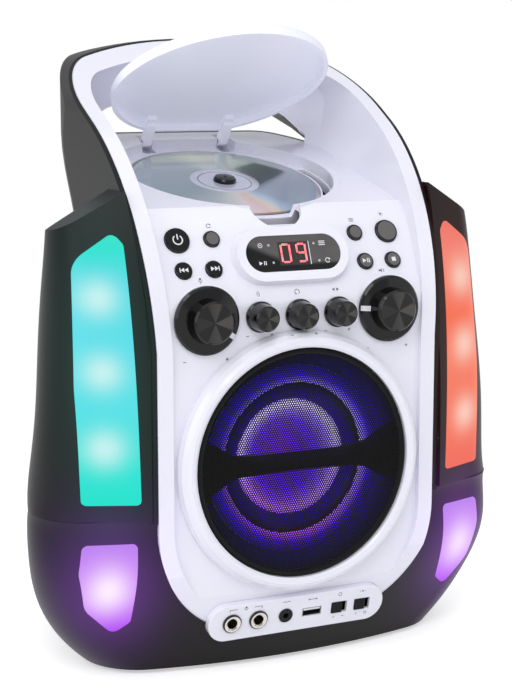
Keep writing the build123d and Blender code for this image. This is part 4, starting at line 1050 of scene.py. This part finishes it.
def make_stage():
    """White floor: it keeps the soft shadow near the object and fades into the white backdrop."""
    mesh = bpy.data.meshes.new("floor")
    corners = [(x * FLOOR_HALF, y * FLOOR_HALF, 0) for x, y in ((-1, -1), (1, -1), (1, 1), (-1, 1))]
    mesh.from_pydata(corners, [], [(0, 1, 2, 3)])
    material, tree, shader = new_material("pale floor", Roughness=0.7, Base_Color=FLOOR_GREY)
    ray = add_node(tree, "LightPath").outputs
    seen = maths(tree, "MAXIMUM", ray["Is Camera Ray"], ray["Is Glossy Ray"])
    glow = add_node(tree, "Emission", Color=FULL_WHITE, Strength=FLOOR_LIFT)
    near = add_node(tree, "AddShader", i0=shader.outputs[0], i1=glow.outputs[0])
    white = add_node(tree, "Emission", Color=FULL_WHITE, Strength=1.0)
    distance = vector_maths(tree, "LENGTH", object_place(tree))
    fade = between(tree, distance, FADE_FROM, FADE_TO, "SMOOTHSTEP")
    shown = add_node(tree, "MixShader", i0=fade, i1=near.outputs[0], i2=white.outputs[0])
    choice = add_node(tree, "MixShader", i0=seen, i1=shader.outputs[0], i2=shown.outputs[0])
    tree.links.new(choice.outputs[0], tree.nodes["Material Output"].inputs["Surface"])
    mesh.materials.append(material)
    floor = bpy.data.objects.new("floor", mesh)
    bpy.context.scene.collection.objects.link(floor)


def make_world():
    """Pale, slightly cool light from all round; the camera and clear pieces see plain white."""
    world = bpy.data.worlds.new("studio")
    bpy.context.scene.world = world
    world.use_nodes = True
    tree = world.node_tree
    back = tree.nodes["Background"]
    back.inputs["Color"].default_value = WORLD_TINT
    back.inputs["Strength"].default_value = WORLD_STRENGTH
    white = add_node(tree, "Background", Color=FULL_WHITE, Strength=1.0)
    ray = add_node(tree, "LightPath").outputs
    seen = maths(tree, "MAXIMUM", ray["Is Camera Ray"], ray["Is Transmission Ray"])
    choice = add_node(tree, "MixShader", i0=seen, i1=back.outputs[0], i2=white.outputs[0])
    tree.links.new(choice.outputs[0], tree.nodes["World Output"].inputs["Surface"])


def make_lights():
    """Soft rectangular lamps, all aimed at the machine's middle."""
    for name, at, size, power in LIGHTS:
        lamp = bpy.data.lights.new(name, "AREA")
        lamp.shape = "RECTANGLE"
        lamp.size, lamp.size_y = size
        lamp.energy = power
        made = bpy.data.objects.new(name, lamp)
        made.location = at
        made.rotation_euler = (Vector(LIGHT_AIM) - Vector(at)).to_track_quat("-Z", "Y").to_euler()
        bpy.context.scene.collection.objects.link(made)


def make_camera():
    camera = bpy.data.objects.new("camera", bpy.data.cameras.new("camera"))
    camera.data.lens = CAMERA_LENS
    camera.data.sensor_width = CAMERA_FRAME
    camera.data.clip_start = CAMERA_CLIP
    camera.location = CAMERA_AT
    camera.rotation_euler = (math.radians(90 - CAMERA_DIP), 0, math.radians(-CAMERA_TURN))
    bpy.context.scene.collection.objects.link(camera)
    bpy.context.scene.camera = camera


make_speaker_front()
make_button_symbols()
make_pointers()
make_display()
make_panel_marks()
make_plate_marks()
make_stage()
make_world()
make_lights()
make_camera()
bpy.context.scene.view_settings.view_transform = "Standard"
